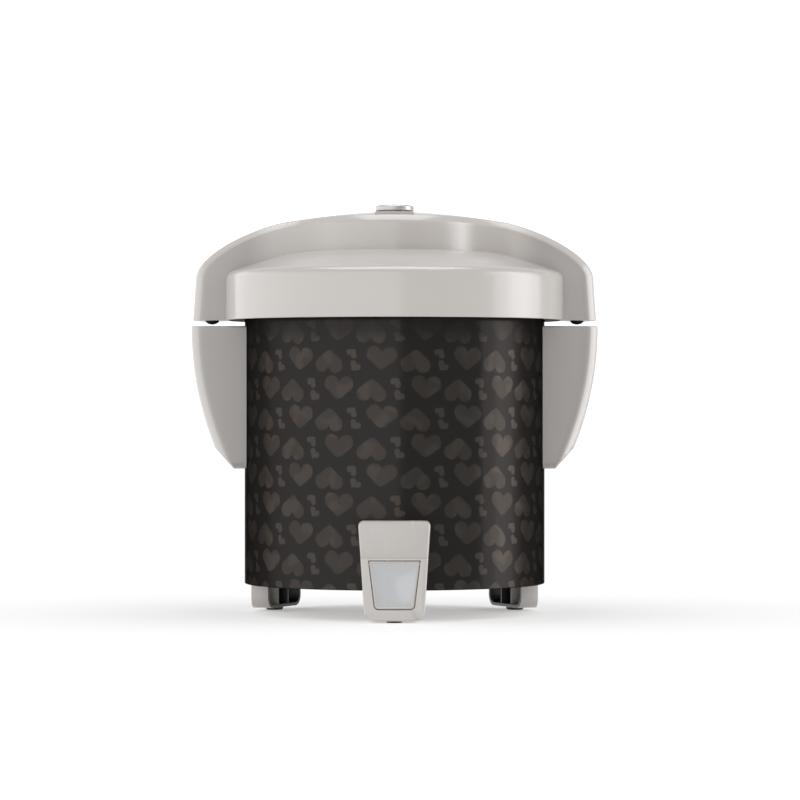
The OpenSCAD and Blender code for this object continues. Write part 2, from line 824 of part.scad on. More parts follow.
// --- Lid ---
lid_screw_r = skirt_in - 7.5;
module lid_screw_places() {
    for (a = [45 : 90 : 315])
        rotate([0, 0, a])
            translate([lid_screw_r, 0, 0])
                children();
}
module lid_cover() {
    inner = shrink(dome_line, lid_t);
    color([0.77, 0.76, 0.75])
        difference() {
            union() {
                rotate_extrude()
                    polygon(concat(dome_line, [[skirt_r, lid_z], [skirt_in, lid_z]],
                                   [for (i = [len(inner) - 1 : -1 : 0]) inner[i]]));
                intersection() {
                    lid_screw_places()
                        rod(4.2, 0, 0, liner_floor + 2, lid_z + skirt_h + 12);
                    rotate_extrude()
                        polygon(concat(dome_line, [[skirt_r, lid_z], [0, lid_z]]));
                }
            }
            disc(cap_r - 2.2, lid_z + dome_h - 5, lid_z + dome_h + 1);
            rod(stem_r + slot_gap, 0, button_y, lid_z + dome_h - 5, lid_z + dome_h + 1);
            lid_screw_places()
                rod(screw_r + run_gap, 0, 0, liner_floor, liner_floor + 14);
        }
}
// One quarter of the arch's plan, from the front of the bulge to the wing's tip
function arch_quarter(t) = concat(
    arc([0, bulge_set], bulge_r - t, 270, 270 + bulge_turn, 8),
    [for (q = arc([reach_x, -wing_half - hollow_r], hollow_r + t, 90 + bulge_turn, 90, 6)) q],
    [[wing_tip - t - corner_cut, -wing_half + t], [wing_tip - t + 1, -wing_half + t + corner_cut + 1],
     [wing_r + 5, 0]]);
module arch_plan(t) {
    quarter = arch_quarter(t);
    n = len(quarter);
    polygon(concat(
        quarter,
        [for (i = [n - 2 : -1 : 0]) [quarter[i].x, -quarter[i].y]],
        [for (i = [1 : n - 1]) [-quarter[i].x, -quarter[i].y]],
        [for (i = [n - 2 : -1 : 1]) [-quarter[i].x, quarter[i].y]]));
}
// The bulge's centre lies behind the axis; each hollow touches it and the wing's face
bulge_set = 14.6;
reach_y = wing_half + hollow_r + bulge_set;
reach_x = sqrt((bulge_r + hollow_r) * (bulge_r + hollow_r) - reach_y * reach_y);
bulge_turn = atan2(reach_x, reach_y);
wing_tip = sqrt(wing_r * wing_r - wing_half * wing_half);
module lid_bridge() {
    inner = shrink(arch_line, lid_t);
    color([0.76, 0.75, 0.74])
        difference() {
            intersection() {
                rotate_extrude()
                    polygon(concat(arch_line, [[0, lid_z]]));
                translate([0, 0, lid_z - 1])
                    linear_extrude(arch_h + 5)
                        arch_plan(0);
            }
            intersection() {
                rotate_extrude()
                    polygon(concat([for (i = [0 : len(inner) - 2]) inner[i]],
                                   [[wing_r - lid_t, lid_z + lid_t], [0, lid_z + lid_t]]));
                translate([0, 0, lid_z])
                    linear_extrude(arch_h)
                        arch_plan(lid_t);
            }
            rotate_extrude()
                polygon(concat(dome_line, [[skirt_r, lid_z - 1], [0, lid_z - 1]]));
            disc(cap_r - 2.2, lid_z, lid_z + arch_h + 1);
            slab([-button_half.x - 0.4, button_y - button_half.y - 0.4, lid_z + arch_h - 14],
                 [button_half.x + 0.4, button_y + button_half.y + 0.4, lid_z + arch_h + 1]);
            for (side = [-1, 1])
                rod(2.5, side * bumper_x, 0, lid_z - 1, lid_z + lid_t + 1);
        }
}
bumper_x = wing_r - 15.3;
module wing_bumpers() {
    drop = 3.2;
    color([0.12, 0.12, 0.12])
        for (side = [-1, 1])
            translate([side * bumper_x, 0, 0])
                rotate_extrude()
                    polygon(concat([[0, lid_z - drop]],
                                   [for (a = [-75 : 15 : 0]) [5.5 * cos(a), lid_z + drop * sin(a)]],
                                   [[2.4, lid_z], [2.4, lid_z + lid_t + 1.4], [0, lid_z + lid_t + 1.4]]));
}
module lid_liner() {
    wall = flange_r + 2.4;
    floor_z = liner_floor;
    deck = floor_z + 5;
    barrel = [6, 14];
    color([0.62, 0.61, 0.6])
        difference() {
            union() {
                rotate_extrude()
                    polygon([[wall - 2, floor_z], [skirt_in - 0.2, floor_z], [skirt_in - 0.2, floor_z + 2],
                             [wall, floor_z + 2], [wall, deck + 2], [cap_r - 2, deck + 2],
                             [cap_r - 2, deck], [wall - 2, deck]]);
                for (side = [-1, 1]) {
                    x1 = side > 0 ? barrel[0] : -barrel[1];
                    x2 = side > 0 ? barrel[1] : -barrel[0];
                    rod_x(hinge_lug_r, x1, x2, hinge_y, hinge_z);
                    slab([x1, hinge_y - 3, hinge_z], [x2, hinge_y + 3, floor_z + 1]);
                }
                // Cheeks that carry the latch
                for (x = [-9.6, 7.2])
                    slab([x, latch_y - 5, floor_z + 1], [x + 2.4, latch_y + 5, latch_z + 4]);
            }
            rod_x(hinge_pin_r + run_gap, -barrel[1] - 1, barrel[1] + 1, hinge_y, hinge_z);
            rod_x(latch_pin_r + run_gap, -11, 11, latch_y, latch_z);
            // Way through for the latch hook
            slab([-7, hook_out - 3, floor_z - 1], [7, hook_out + 6.5, floor_z + 3]);
            lid_screw_places()
                rod(screw_r + run_gap, 0, 0, floor_z - 1, floor_z + 3);
        }
}
module inner_lid_plate() {
    z = liner_floor + 1.6;
    r = pot_r - 1.5;
    color([0.78, 0.78, 0.79])
        difference() {
            rotate_extrude()
                polygon([[9, z], [r - 12, z], [r - 9, z + 1.2], [r, z + 1.2], [r, z + 2.4],
                         [r - 9.6, z + 2.4], [r - 12.6, z + 1.2], [9, z + 1.2]]);
            for (a = [0 : 45 : 315])
                rotate([0, 0, a])
                    rod(2, 30, 0, z - 1, z + 3);
        }
}
module lid_gasket() {
    low = ring_ledge + flange_t + fit_gap;
    deck = liner_floor + 5;
    r1 = pot_r - 1.2;
    r2 = flange_r + 0.2;
    color([0.85, 0.85, 0.84])
        rotate_extrude()
            polygon([[r1, deck - 2.6], [r1 + 3, low], [r1 + 5, low], [r2 - 1, deck - 3], [r2, deck - 3],
                     [r2, deck], [r1, deck]]);
}
module steam_tube() {
    outer = cap_r - 2.3;
    color([0.62, 0.61, 0.6])
        difference() {
            union() {
                disc(outer, liner_floor + 3, lid_z + arch_h - 1.6);
                disc(outer + 4, liner_floor + 3, liner_floor + 4.9);
            }
            disc(outer - 2.4, liner_floor, lid_z + arch_h);
        }
}
module steam_cap() {
    base = lid_z + arch_h;
    color([0.75, 0.75, 0.76])
        difference() {
            rotate_extrude()
                polygon(concat(
                    [[0, base - 10], [cap_r - 5.2, base - 10], [cap_r - 5.2, base],
                     [cap_r - 0.4, base], [cap_r, base + 0.4], [cap_r, base + cap_h - 1.6]],
                    bez([cap_r - 1, base + cap_h - 0.8], [cap_r - 6, base + cap_h],
                        [5, base + cap_h], [0, base + cap_h], 4)));
            disc(cap_r - 7, base - 11, base - 1);
            for (a = [0 : 60 : 300])
                rotate([0, 0, a])
                    slab([0, -1.5, base - 7], [cap_r - 4, 1.5, base - 2]);
        }
}
module lid_insulation() {
    deck = liner_floor + 7;
    color([0.9, 0.88, 0.8])
        ring(cap_r + 1, latch_inner, deck, deck + 5);
}
latch_inner = pot_r - 8;
module open_button() {
    top = button_z + 0.2;
    flange = lid_z + arch_h - 12.6;
    color([0.7, 0.69, 0.68]) {
        slab([-button_half.x, button_y - button_half.y, flange + 1],
             [button_half.x, button_y + button_half.y, top]);
        slab([-button_half.x - 2, button_y - button_half.y - 1.4, flange],
             [button_half.x + 2, button_y + button_half.y + 1.4, flange + 2]);
        rod(stem_r, 0, button_y, latch_z + 2.5, flange + 1);
    }
}
module button_spring() {
    color("silver")
        translate([0, button_y, 0])
            coil(stem_r + 2, 0.9, lid_z + dome_h + 0.1, lid_z + arch_h - 12.7, 6);
}
module latch_hook() {
    y = hook_out;
    tip = -body_r - catch_reach - fit_gap;
    low = catch_z - 2.2;
    color([0.66, 0.67, 0.68])
        difference() {
            side_prism([[y, low], [tip - 1.2, low], [tip, catch_z - 1.2], [tip, catch_z - 0.5],
                        [y + 2.5, catch_z - 0.3], [y + 2.5, latch_z - 6], [latch_y, latch_z - 4],
                        [latch_y + 6, latch_z - 2], [button_y + 5, latch_z - 2],
                        [button_y + 5, latch_z + 2], [latch_y + 6, latch_z + 2],
                        [latch_y, latch_z + 4], [y + 4, latch_z + 2], [y, latch_z - 2]], -6, 6);
            rod_x(latch_pin_r + run_gap, -7, 7, latch_y, latch_z);
        }
}
module latch_pin() {
    color("silver")
        rod_x(latch_pin_r, -10.5, 10.5, latch_y, latch_z);
}
module lid_screws() {
    color("silver")
        lid_screw_places()
            pan_screw(liner_floor - 1.8, liner_floor, liner_floor + 12);
}

body_shell();
base_pan();
inner_liner();
top_ring();
catch_plate();
hinge_pin();
hinge_spring();
left_handle();
right_handle();
handle_screws();
rear_left_leg();
rear_right_leg();
leg_screws();
rear_left_pad();
rear_right_pad();
front_pad();
switch_housing();
switch_cover();
cook_paddle();
paddle_pin();
lamp_board();
cook_lamp();
warm_lamp();
heating_plate();
heater_element();
plate_screws();
thermostat_housing();
sensor_cap();
thermal_ferrite();
sensor_spring();
magnet_plunger();
magnet_spring();
seesaw_lever();
lever_bracket();
lever_pin();
microswitch();
thermal_fuse();
terminal_block();
keep_warm_band();
power_inlet();
inlet_pins();
wiring();
inner_pot();
dew_collector();
dew_bracket();
lid_cover();
lid_bridge();
wing_bumpers();
lid_liner();
inner_lid_plate();
lid_gasket();
steam_tube();
steam_cap();
lid_insulation();
open_button();
button_spring();
latch_hook();
latch_pin();
lid_screws();
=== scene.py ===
# %% [markdown]
# # A rice cooker with a printed steel drum
# The cooker is a dark steel drum under a pale moulded lid. An arch crosses the lid and ends in
# two wings over the side handles. The solids and joints come ready made, so this lesson gives
# the pieces that are seen their soft edges, and gives every piece a finish.

# %% Load the frame
from math import cos, hypot, pi, radians, sin, sqrt, tan

import bmesh
import bpy
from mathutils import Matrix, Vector


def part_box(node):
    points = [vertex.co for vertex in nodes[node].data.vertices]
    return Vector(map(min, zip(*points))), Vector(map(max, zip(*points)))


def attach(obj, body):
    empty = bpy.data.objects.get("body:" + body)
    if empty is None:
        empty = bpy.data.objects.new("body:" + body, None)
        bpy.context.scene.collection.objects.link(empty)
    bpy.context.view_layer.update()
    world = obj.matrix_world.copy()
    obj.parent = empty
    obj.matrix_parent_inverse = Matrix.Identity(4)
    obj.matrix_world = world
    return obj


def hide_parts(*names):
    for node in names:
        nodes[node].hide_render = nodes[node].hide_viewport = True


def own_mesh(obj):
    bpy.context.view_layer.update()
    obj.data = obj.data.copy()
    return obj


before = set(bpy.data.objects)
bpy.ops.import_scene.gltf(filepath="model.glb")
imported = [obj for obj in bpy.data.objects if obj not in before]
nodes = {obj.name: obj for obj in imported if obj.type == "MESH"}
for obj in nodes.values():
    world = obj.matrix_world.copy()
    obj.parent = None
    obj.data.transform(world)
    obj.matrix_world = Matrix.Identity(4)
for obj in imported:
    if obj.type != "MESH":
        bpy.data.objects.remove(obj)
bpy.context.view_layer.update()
MM = 0.001

# %% [markdown]
# ## The camera
# The cooker is seen from the front, from low down and far off, so a long lens stands level at
# about the height of the handles.

# %% Camera
EYE = Vector((4.3 * MM, -2813 * MM, 170.4 * MM))
camera_data = bpy.data.cameras.new("front_view")
camera_data.sensor_width = 36
camera_data.lens = 158
camera = bpy.data.objects.new("front_view", camera_data)
camera.location = EYE
camera.rotation_euler = (pi / 2, 0, 0)
bpy.context.collection.objects.link(camera)
bpy.context.scene.camera = camera
print("camera", tuple(round(c, 3) for c in EYE))

# %% [markdown]
# ## Studio light
# The cooker stands in a white tent, so soft light comes from all round and the hollows beside
# the drum are a little darker; the wing and handle faces there also carry painted shade. A glossy
# moulding also shows lamps as upright bands, so some panels are placed by the angle at which
# each band should appear, and they only add gloss.

# %% World
world = bpy.data.worlds.new("studio")
bpy.context.scene.world = world
world.use_nodes = True
sky = world.node_tree.nodes["Background"]
sky.inputs["Color"].default_value = (1, 1, 1, 1)
WHITE = 1.3
SOFT_ALL_ROUND = 0.42
SOFT_FROM_SIDES = 1.42
tent = world.node_tree


def tent_math(operation, *values):
    """An arithmetic node for the tent's light."""
    node = tent.nodes.new("ShaderNodeMath")
    node.operation = operation
    for value, socket in zip(values, node.inputs):
        if isinstance(value, bpy.types.NodeSocket):
            tent.links.new(value, socket)
        else:
            socket.default_value = value
    return node.outputs[0]


def chosen(ray, otherwise, value):
    """The value for one kind of ray, and something else for the other kinds."""
    path = tent.nodes.new("ShaderNodeLightPath")
    choice = tent.nodes.new("ShaderNodeMix")
    tent.links.new(path.outputs[ray], choice.inputs[0])
    for source, socket in ((otherwise, choice.inputs[2]), (value, choice.inputs[3])):
        if isinstance(source, bpy.types.NodeSocket):
            tent.links.new(source, socket)
        else:
            socket.default_value = source
    return choice.outputs[0]


where = tent.nodes.new("ShaderNodeTexCoord")
way = tent.nodes.new("ShaderNodeSeparateXYZ")
tent.links.new(where.outputs["Generated"], way.inputs[0])
# Soft light comes more from the two sides, and the wall behind is the brightest to gloss.
sideways = tent_math("POWER", way.outputs["X"], 2)
soft = tent_math("ADD", SOFT_ALL_ROUND, tent_math("MULTIPLY", SOFT_FROM_SIDES, sideways))
behind = tent.nodes.new("ShaderNodeMapRange")
for name, number in (("From Min", 0.55), ("From Max", 0.95), ("To Min", 0.3), ("To Max", 1.0)):
    behind.inputs[name].default_value = number
tent.links.new(way.outputs["Y"], behind.inputs["Value"])
strength = chosen("Is Camera Ray", chosen("Is Glossy Ray", soft, behind.outputs[0]), WHITE)
tent.links.new(strength, sky.inputs["Strength"])
bpy.context.scene.view_settings.view_transform = "Standard"
print("tent light ready")

# %% Panels round the cooker
def panel(name, azimuth, spread, distance, low, high, radiance):
    """An upright light at an angle round the cooker, 0 at the front, that spans an angle."""
    data = bpy.data.lights.new(name, "AREA")
    data.shape = "RECTANGLE"
    data.size = 2 * distance * tan(radians(spread) / 2)
    data.size_y = high - low
    data.energy = radiance * pi * data.size * data.size_y
    light = bpy.data.objects.new(name, data)
    a = radians(azimuth)
    place = Vector((distance * sin(a), -distance * cos(a), (low + high) / 2))
    light.location = place
    light.rotation_euler = Vector((place.x, place.y, 0)).to_track_quat("Z", "Y").to_euler()
    light.visible_camera = False
    light.visible_diffuse = False
    bpy.context.collection.objects.link(light)
    return light


panel("left_panel", azimuth=-32.4, spread=74, distance=3.6, low=-1.6, high=2.6, radiance=1.4)
panel("left_wrap", azimuth=-106.4, spread=74, distance=3.6, low=-1.6, high=2.6, radiance=1.4)
panel("right_glow", azimuth=91, spread=44, distance=3.0, low=-1.4, high=2.4, radiance=2.6)
panel("right_strip", azimuth=91, spread=20, distance=2.8, low=-1.4, high=2.4, radiance=2.0)

# %% A soft box overhead
OVERHEAD_RADIANCE = 4.0
box_data = bpy.data.lights.new("overhead_box", "AREA")
box_data.size = 1.9
box_data.energy = OVERHEAD_RADIANCE * pi * box_data.size ** 2
overhead = bpy.data.objects.new("overhead_box", box_data)
overhead.location = (0, 0.1, 2.5)
overhead.visible_camera = False
overhead.visible_diffuse = False
bpy.context.collection.objects.link(overhead)

# %% Light from above
top_data = bpy.data.lights.new("top_light", "SUN")
top_data.energy = 0.5
top_data.angle = radians(100)
top_light = bpy.data.objects.new("top_light", top_data)
bpy.context.collection.objects.link(top_light)

# %% [markdown]
# ## Small helpers for materials
# Each finish is a little graph of nodes. A short class keeps the wiring out of the way, so a
# finish reads as what it does: a colour, a roughness and a grain.

# %% Graph helper
class Finish:
    """A material with a Principled shader and short ways to add nodes to it."""

    def __init__(self, name, roughness=0.4, metallic=0.0):
        self.material = bpy.data.materials.new(name)
        self.material.use_nodes = True
        self.tree = self.material.node_tree
        self.shader = self.tree.nodes["Principled BSDF"]
        self.set("Roughness", roughness)
        self.set("Metallic", metallic)
        self.place = self.add("ShaderNodeTexCoord").outputs["Object"]

    def add(self, kind, **settings):
        node = self.tree.nodes.new(kind)
        for key, value in settings.items():
            setattr(node, key, value)
        return node

    def plug(self, value, socket):
        if isinstance(value, bpy.types.NodeSocket):
            self.tree.links.new(value, socket)
        else:
            socket.default_value = value

    def set(self, name, value):
        self.plug(value, self.shader.inputs[name])

    def math(self, operation, *values):
        node = self.add("ShaderNodeMath", operation=operation)
        for value, socket in zip(values, node.inputs):
            self.plug(value, socket)
        return node.outputs[0]

    def noise(self, scale, detail=3.0, stretch=(1, 1, 1), distortion=0.0):
        mapping = self.add("ShaderNodeMapping")
        mapping.inputs["Scale"].default_value = stretch
        self.tree.links.new(self.place, mapping.inputs["Vector"])
        node = self.add("ShaderNodeTexNoise")
        node.inputs["Scale"].default_value = scale
        node.inputs["Detail"].default_value = detail
        node.inputs["Distortion"].default_value = distortion
        self.tree.links.new(mapping.outputs[0], node.inputs["Vector"])
        return node.outputs["Fac"]

    def span(self, value, low, high, from_low=0.0, from_high=1.0, smooth=False):
        node = self.add("ShaderNodeMapRange")
        if smooth:
            node.interpolation_type = "SMOOTHSTEP"
        self.plug(value, node.inputs["Value"])
        for name, number in zip(("From Min", "From Max", "To Min", "To Max"),
                                (from_low, from_high, low, high)):
            node.inputs[name].default_value = number
        return node.outputs["Result"]

    def mix(self, factor, a, b):
        node = self.add("ShaderNodeMix", data_type="RGBA")
        self.plug(factor, node.inputs["Factor"])
        self.plug(a, node.inputs["A"])
        self.plug(b, node.inputs["B"])
        return node.outputs["Result"]

    def bump(self, height, depth, strength=1.0):
        node = self.add("ShaderNodeBump")
        node.inputs["Strength"].default_value = strength
        node.inputs["Distance"].default_value = depth
        self.plug(height, node.inputs["Height"])
        self.set("Normal", node.outputs["Normal"])


def srgb(r, g, b, factor=1.0):
    """A colour given as 0 to 255 in sRGB, as the linear colour that a shader takes."""
    def linear(c):
        c = c / 255
        return c / 12.92 if c <= 0.04045 else ((c + 0.055) / 1.055) ** 2.4
    return (linear(r) * factor, linear(g) * factor, linear(b) * factor, 1)


# %% [markdown]
# ## Moulded plastic
# The lid, handles and feet come out of spark-eroded moulds: the skin is even, with a very fine
# grain and a slight unevenness in gloss where the plastic flowed. The upright faces of the arch's
# wings and of the handles are painted darker towards the sides: painted shade.

# %% Moulded plastic
# Painted shade: upright faces far out to the sides are painted this much darker.
PAINTED_SHADE = 0.71
FACES_FRONT = (0.72, 0.92)


def moulded(name, colour, roughness=0.34, grain=0.00002, specular=0.5, painted_shade_past=None):
    """Plastic with a faint cloud and grain. Upright faces may get painted shade towards the sides.
    """
    finish = Finish(name, roughness)
    dark = tuple(c * 0.965 for c in colour[:3]) + (1,)
    light = tuple(min(1, c * 1.03) for c in colour[:3]) + (1,)
    shade = finish.mix(finish.noise(14, 4), dark, light)
    if painted_shade_past:
        # A face counts as upright by how far its normal leans towards the front or the back.
        place, normal = finish.add("ShaderNodeSeparateXYZ"), finish.add("ShaderNodeSeparateXYZ")
        finish.plug(finish.place, place.inputs[0])
        finish.plug(finish.add("ShaderNodeTexCoord").outputs["Normal"], normal.inputs[0])
        painted_shade_aside = finish.span(finish.math("ABSOLUTE", place.outputs["X"]), 0, 1, *painted_shade_past,
                            smooth=True)
        upright = finish.span(finish.math("ABSOLUTE", normal.outputs["Y"]), 0, 1, *FACES_FRONT,
                              smooth=True)
        # Painted shade: the upright faces towards the sides are painted darker.
        painted_shade_colour = tuple(c * PAINTED_SHADE for c in colour[:3]) + (1,)
        shade = finish.mix(finish.math("MULTIPLY", painted_shade_aside, upright), shade, painted_shade_colour)
    finish.set("Base Color", shade)
    fine = finish.noise(2600, 2)
    finish.set("Roughness", finish.span(finish.noise(60, 3), roughness - 0.04, roughness + 0.05))
    finish.set("Specular IOR Level", specular)
    finish.bump(fine, grain, 0.5)
    return finish.material


pale_plastic = moulded("pale_plastic", srgb(200, 195, 191), 0.17)
# The arch and the handles carry painted shade on their upright faces past this reach.
arch_plastic_painted_shade = moulded("arch_plastic_painted_shade", srgb(202, 197, 193), 0.2,
                       painted_shade_past=(92 * MM, 120 * MM))
# Painted shade: the feet are the lid's pale plastic painted darker, with a rougher skin.
foot_plastic_painted_shade = moulded("foot_plastic_painted_shade", srgb(184, 179, 176), 0.36, 0.00004)
switch_plastic = moulded("switch_top_plastic", srgb(197, 192, 188), 0.26)
inner_plastic = moulded("inner_plastic", srgb(176, 172, 168), 0.45, 0.00004)
button_plastic = moulded("button_plastic", srgb(188, 183, 179), 0.3)
black_plastic = moulded("black_plastic", srgb(38, 38, 39), 0.42, 0.00005)
paddle_plastic = moulded("paddle_plastic", srgb(198, 200, 202), 0.16, 0.00001)
print("moulded plastics made")

# %% [markdown]
# ## The printed drum
# The drum is sheet steel, lacquered almost black and printed with rows of brown-grey hearts.
# Each row repeats an upright heart, an inverted heart and a pair of small hearts eleven times
# round the drum, and every second row is shifted by half a repeat. A heart is two round lobes
# and a wedge, which a few arithmetic nodes can measure, so the print stays sharp at any size.

# %% One heart as a distance
HEART_LOBE = 5.9
HEART_TIP = -9.75
HEART_CHEEK = HEART_TIP + 2 * 6.8
HEART_BLUNT = 5.0


def heart_group():
    """A node group: a place in millimetres, and how far it lies outside a heart, tip down."""
    group = bpy.data.node_groups.new("heart", "ShaderNodeTree")
    for name in ("X", "Y"):
        group.interface.new_socket(name, in_out="INPUT", socket_type="NodeSocketFloat")
    group.interface.new_socket("Distance", in_out="OUTPUT", socket_type="NodeSocketFloat")
    start = group.nodes.new("NodeGroupInput")
    end = group.nodes.new("NodeGroupOutput")

    def math(operation, *values):
        node = group.nodes.new("ShaderNodeMath")
        node.operation = operation
        for value, socket in zip(values, node.inputs):
            if isinstance(value, bpy.types.NodeSocket):
                group.links.new(value, socket)
            else:
                socket.default_value = value
        return node.outputs[0]

    x = math("ABSOLUTE", start.outputs["X"])
    y = start.outputs["Y"]
    dx = math("SUBTRACT", x, HEART_LOBE)
    dy = math("SUBTRACT", y, HEART_CHEEK)
    round_part = math("SUBTRACT", math("SQRT", math("ADD", math("MULTIPLY", dx, dx),
                                                     math("MULTIPLY", dy, dy))), HEART_LOBE)
    # Near the tip the wedge's point is blunted, as a felt pen would draw it.
    blunt = math("SQRT", math("ADD", math("MULTIPLY", x, x), HEART_BLUNT))
    wedge = math("MULTIPLY", 0.73, math("SUBTRACT", math("MULTIPLY", blunt, 0.936),
                                       math("SUBTRACT", y, HEART_TIP)))
    roof = math("SUBTRACT", math("ADD", y, math("MULTIPLY", x, 0.434)), HEART_CHEEK)
    distance = math("MINIMUM", round_part, math("MAXIMUM", wedge, roof))
    group.links.new(distance, end.inputs["Distance"])
    return group


HEART = heart_group()

# %% The print
DRUM_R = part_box("body_shell")[1].x
REPEATS = 11
REPEAT = 2 * pi * DRUM_R / REPEATS / MM
ROW = 22.5
ROW_MIDDLE = 201.4
FIRST_HEART = radians(-4.7)
STROKE_LEAN = radians(32)
STROKE_PITCH = 1.45


def heart_mask(finish, u, v, at, turn, size):
    """1 inside a heart at a place in the repeat, turned and scaled, and 0 outside it."""
    a = radians(turn)
    du = finish.math("SUBTRACT", u, at[0])
    # The repeat wraps round, so each heart is measured to its nearest copy.
    du = finish.math("SUBTRACT", du, finish.math(
        "MULTIPLY", REPEAT, finish.math("ROUND", finish.math("DIVIDE", du, REPEAT))))
    dv = finish.math("SUBTRACT", v, at[1])
    x = finish.math("ADD", finish.math("MULTIPLY", du, cos(a) / size),
                    finish.math("MULTIPLY", dv, sin(a) / size))
    y = finish.math("SUBTRACT", finish.math("MULTIPLY", dv, cos(a) / size),
                    finish.math("MULTIPLY", du, sin(a) / size))
    node = finish.add("ShaderNodeGroup")
    node.node_tree = HEART
    finish.plug(x, node.inputs["X"])
    finish.plug(y, node.inputs["Y"])
    soft = 0.35 / size
    return finish.span(node.outputs["Distance"], 1, 0, -soft, soft, smooth=True)


def printed_steel():
    """Dark lacquered steel with the hearts printed on it, and painted shade at its sides and under
    the lid.
    """
    finish = Finish("printed_steel", 0.2, metallic=0.35)
    split = finish.add("ShaderNodeSeparateXYZ")
    finish.plug(finish.place, split.inputs[0])
    angle = finish.math("ARCTAN2", split.outputs["X"],
                        finish.math("MULTIPLY", split.outputs["Y"], -1))
    row = finish.math("DIVIDE", finish.math("SUBTRACT", finish.math(
        "MULTIPLY", split.outputs["Z"], 1 / MM), ROW_MIDDLE - ROW / 2), ROW)
    row_number = finish.math("FLOOR", row)
    v = finish.math("MULTIPLY", ROW, finish.math("SUBTRACT", finish.math("FRACT", row), 0.5))
    odd = finish.math("ABSOLUTE", finish.math("MODULO", row_number, 2))
    turns = finish.math("SUBTRACT", angle, FIRST_HEART)
    u = finish.math("ADD", finish.math("MULTIPLY", turns, DRUM_R / MM),
                    finish.math("MULTIPLY", odd, REPEAT / 2))
    wobble = finish.span(finish.noise(160, 2), -0.9, 0.9)
    u = finish.math("ADD", u, wobble)
    v = finish.math("ADD", v, finish.span(finish.noise(170, 2, (1, 1, 1.3)), -0.9, 0.9))
    upright = heart_mask(finish, u, v, (0, 0.2), -5, 1.0)
    inverted = heart_mask(finish, u, v, (26.4, 0), 176, 0.98)
    upper = heart_mask(finish, u, v, (46.0, 5.6), 140, 0.39)
    lower = heart_mask(finish, u, v, (47.3, -5.6), -38, 0.39)
    large = finish.math("MAXIMUM", upright, inverted)
    print_mask = finish.math("MAXIMUM", large, finish.math("MAXIMUM", upper, lower))
    # Painted shadow: the print is dimmed under the lid's skirt, where the lid shades the drum.
    lid_painted_shadow = finish.span(split.outputs["Z"], 1, 0.25, 0.211, 0.226, smooth=True)
    print_mask = finish.math("MULTIPLY", print_mask, lid_painted_shadow)
    # Crayon strokes run up to the right across part of each large heart.
    along = finish.math("ADD", finish.math("MULTIPLY", u, cos(STROKE_LEAN)),
                        finish.math("MULTIPLY", v, -sin(STROKE_LEAN)))
    stroke = finish.math("SINE", finish.math("MULTIPLY", along, 2 * pi / STROKE_PITCH))
    patch = finish.span(finish.noise(75, 1), 0, 1, 0.36, 0.5, smooth=True)
    strokes = finish.math("MULTIPLY", finish.math("MULTIPLY", patch, large),
                          finish.span(stroke, 0, 1, 0.1, 0.8, smooth=True))
    crayon = finish.span(finish.noise(900, 3), 0.82, 1.1)
    ink = finish.mix(finish.math("MULTIPLY", print_mask, crayon), srgb(48, 46, 45),
                     srgb(71, 66, 62))
    colour = finish.mix(finish.math("MULTIPLY", strokes, 0.95), ink, srgb(46, 44, 43))
    # Painted shade: seen aslant the lacquer is painted almost black, darkest at the drum's sides.
    facing = finish.add("ShaderNodeLayerWeight").outputs["Facing"]
    painted_shade_aside = finish.span(facing, 0, 0.66, 0.42, 0.82)
    finish.set("Base Color", finish.mix(painted_shade_aside, colour, (0.003, 0.003, 0.003, 1)))
    # The lacquer shines softly face on, and not at all towards the drum's sides.
    finish.set("Specular IOR Level", 0.0)
    finish.set("Specular Tint", (0, 0, 0, 1))
    finish.set("Roughness", finish.span(finish.math("ADD", print_mask,
                                                    finish.noise(40, 3)), 0.13, 0.22, 0, 2))
    finish.bump(finish.math("ADD", print_mask, finish.math("MULTIPLY", finish.noise(500, 2), 0.3)),
                0.00002, 0.4)
    return finish.material


drum_print = printed_steel()
print("heart print:", REPEATS, "repeats of", round(REPEAT, 1), "mm")

# %% [markdown]
# ## Metals, rubber and the rest
# Drawn and rolled metal is brushed along one way, cast metal is dimpled, and rubber is dull
# with a dusty bloom. One function each covers every inner piece.

# %% Metals
def brushed(name, colour, roughness=0.3, stretch=(1, 1, 30), depth=0.00001, metallic=1.0):
    """Metal with fine lines along one way."""
    finish = Finish(name, roughness, metallic)
    lines = finish.noise(900, 3, stretch)
    dark = tuple(c * 0.86 for c in colour[:3]) + (1,)
    finish.set("Base Color", finish.mix(lines, dark, colour))
    finish.set("Roughness", finish.span(lines, roughness - 0.06, roughness + 0.12))
    finish.bump(lines, depth, 0.6)
    return finish.material


def cast(name, colour, roughness=0.45, pits=700, depth=0.00006, metallic=1.0):
    """A cast or pressed surface with small dimples."""
    finish = Finish(name, roughness, metallic)
    grain = finish.noise(pits, 4)
    dark = tuple(c * 0.75 for c in colour[:3]) + (1,)
    finish.set("Base Color", finish.mix(grain, dark, colour))
    finish.set("Roughness", finish.span(grain, roughness - 0.08, roughness + 0.12))
    finish.bump(grain, depth, 0.7)
    return finish.material


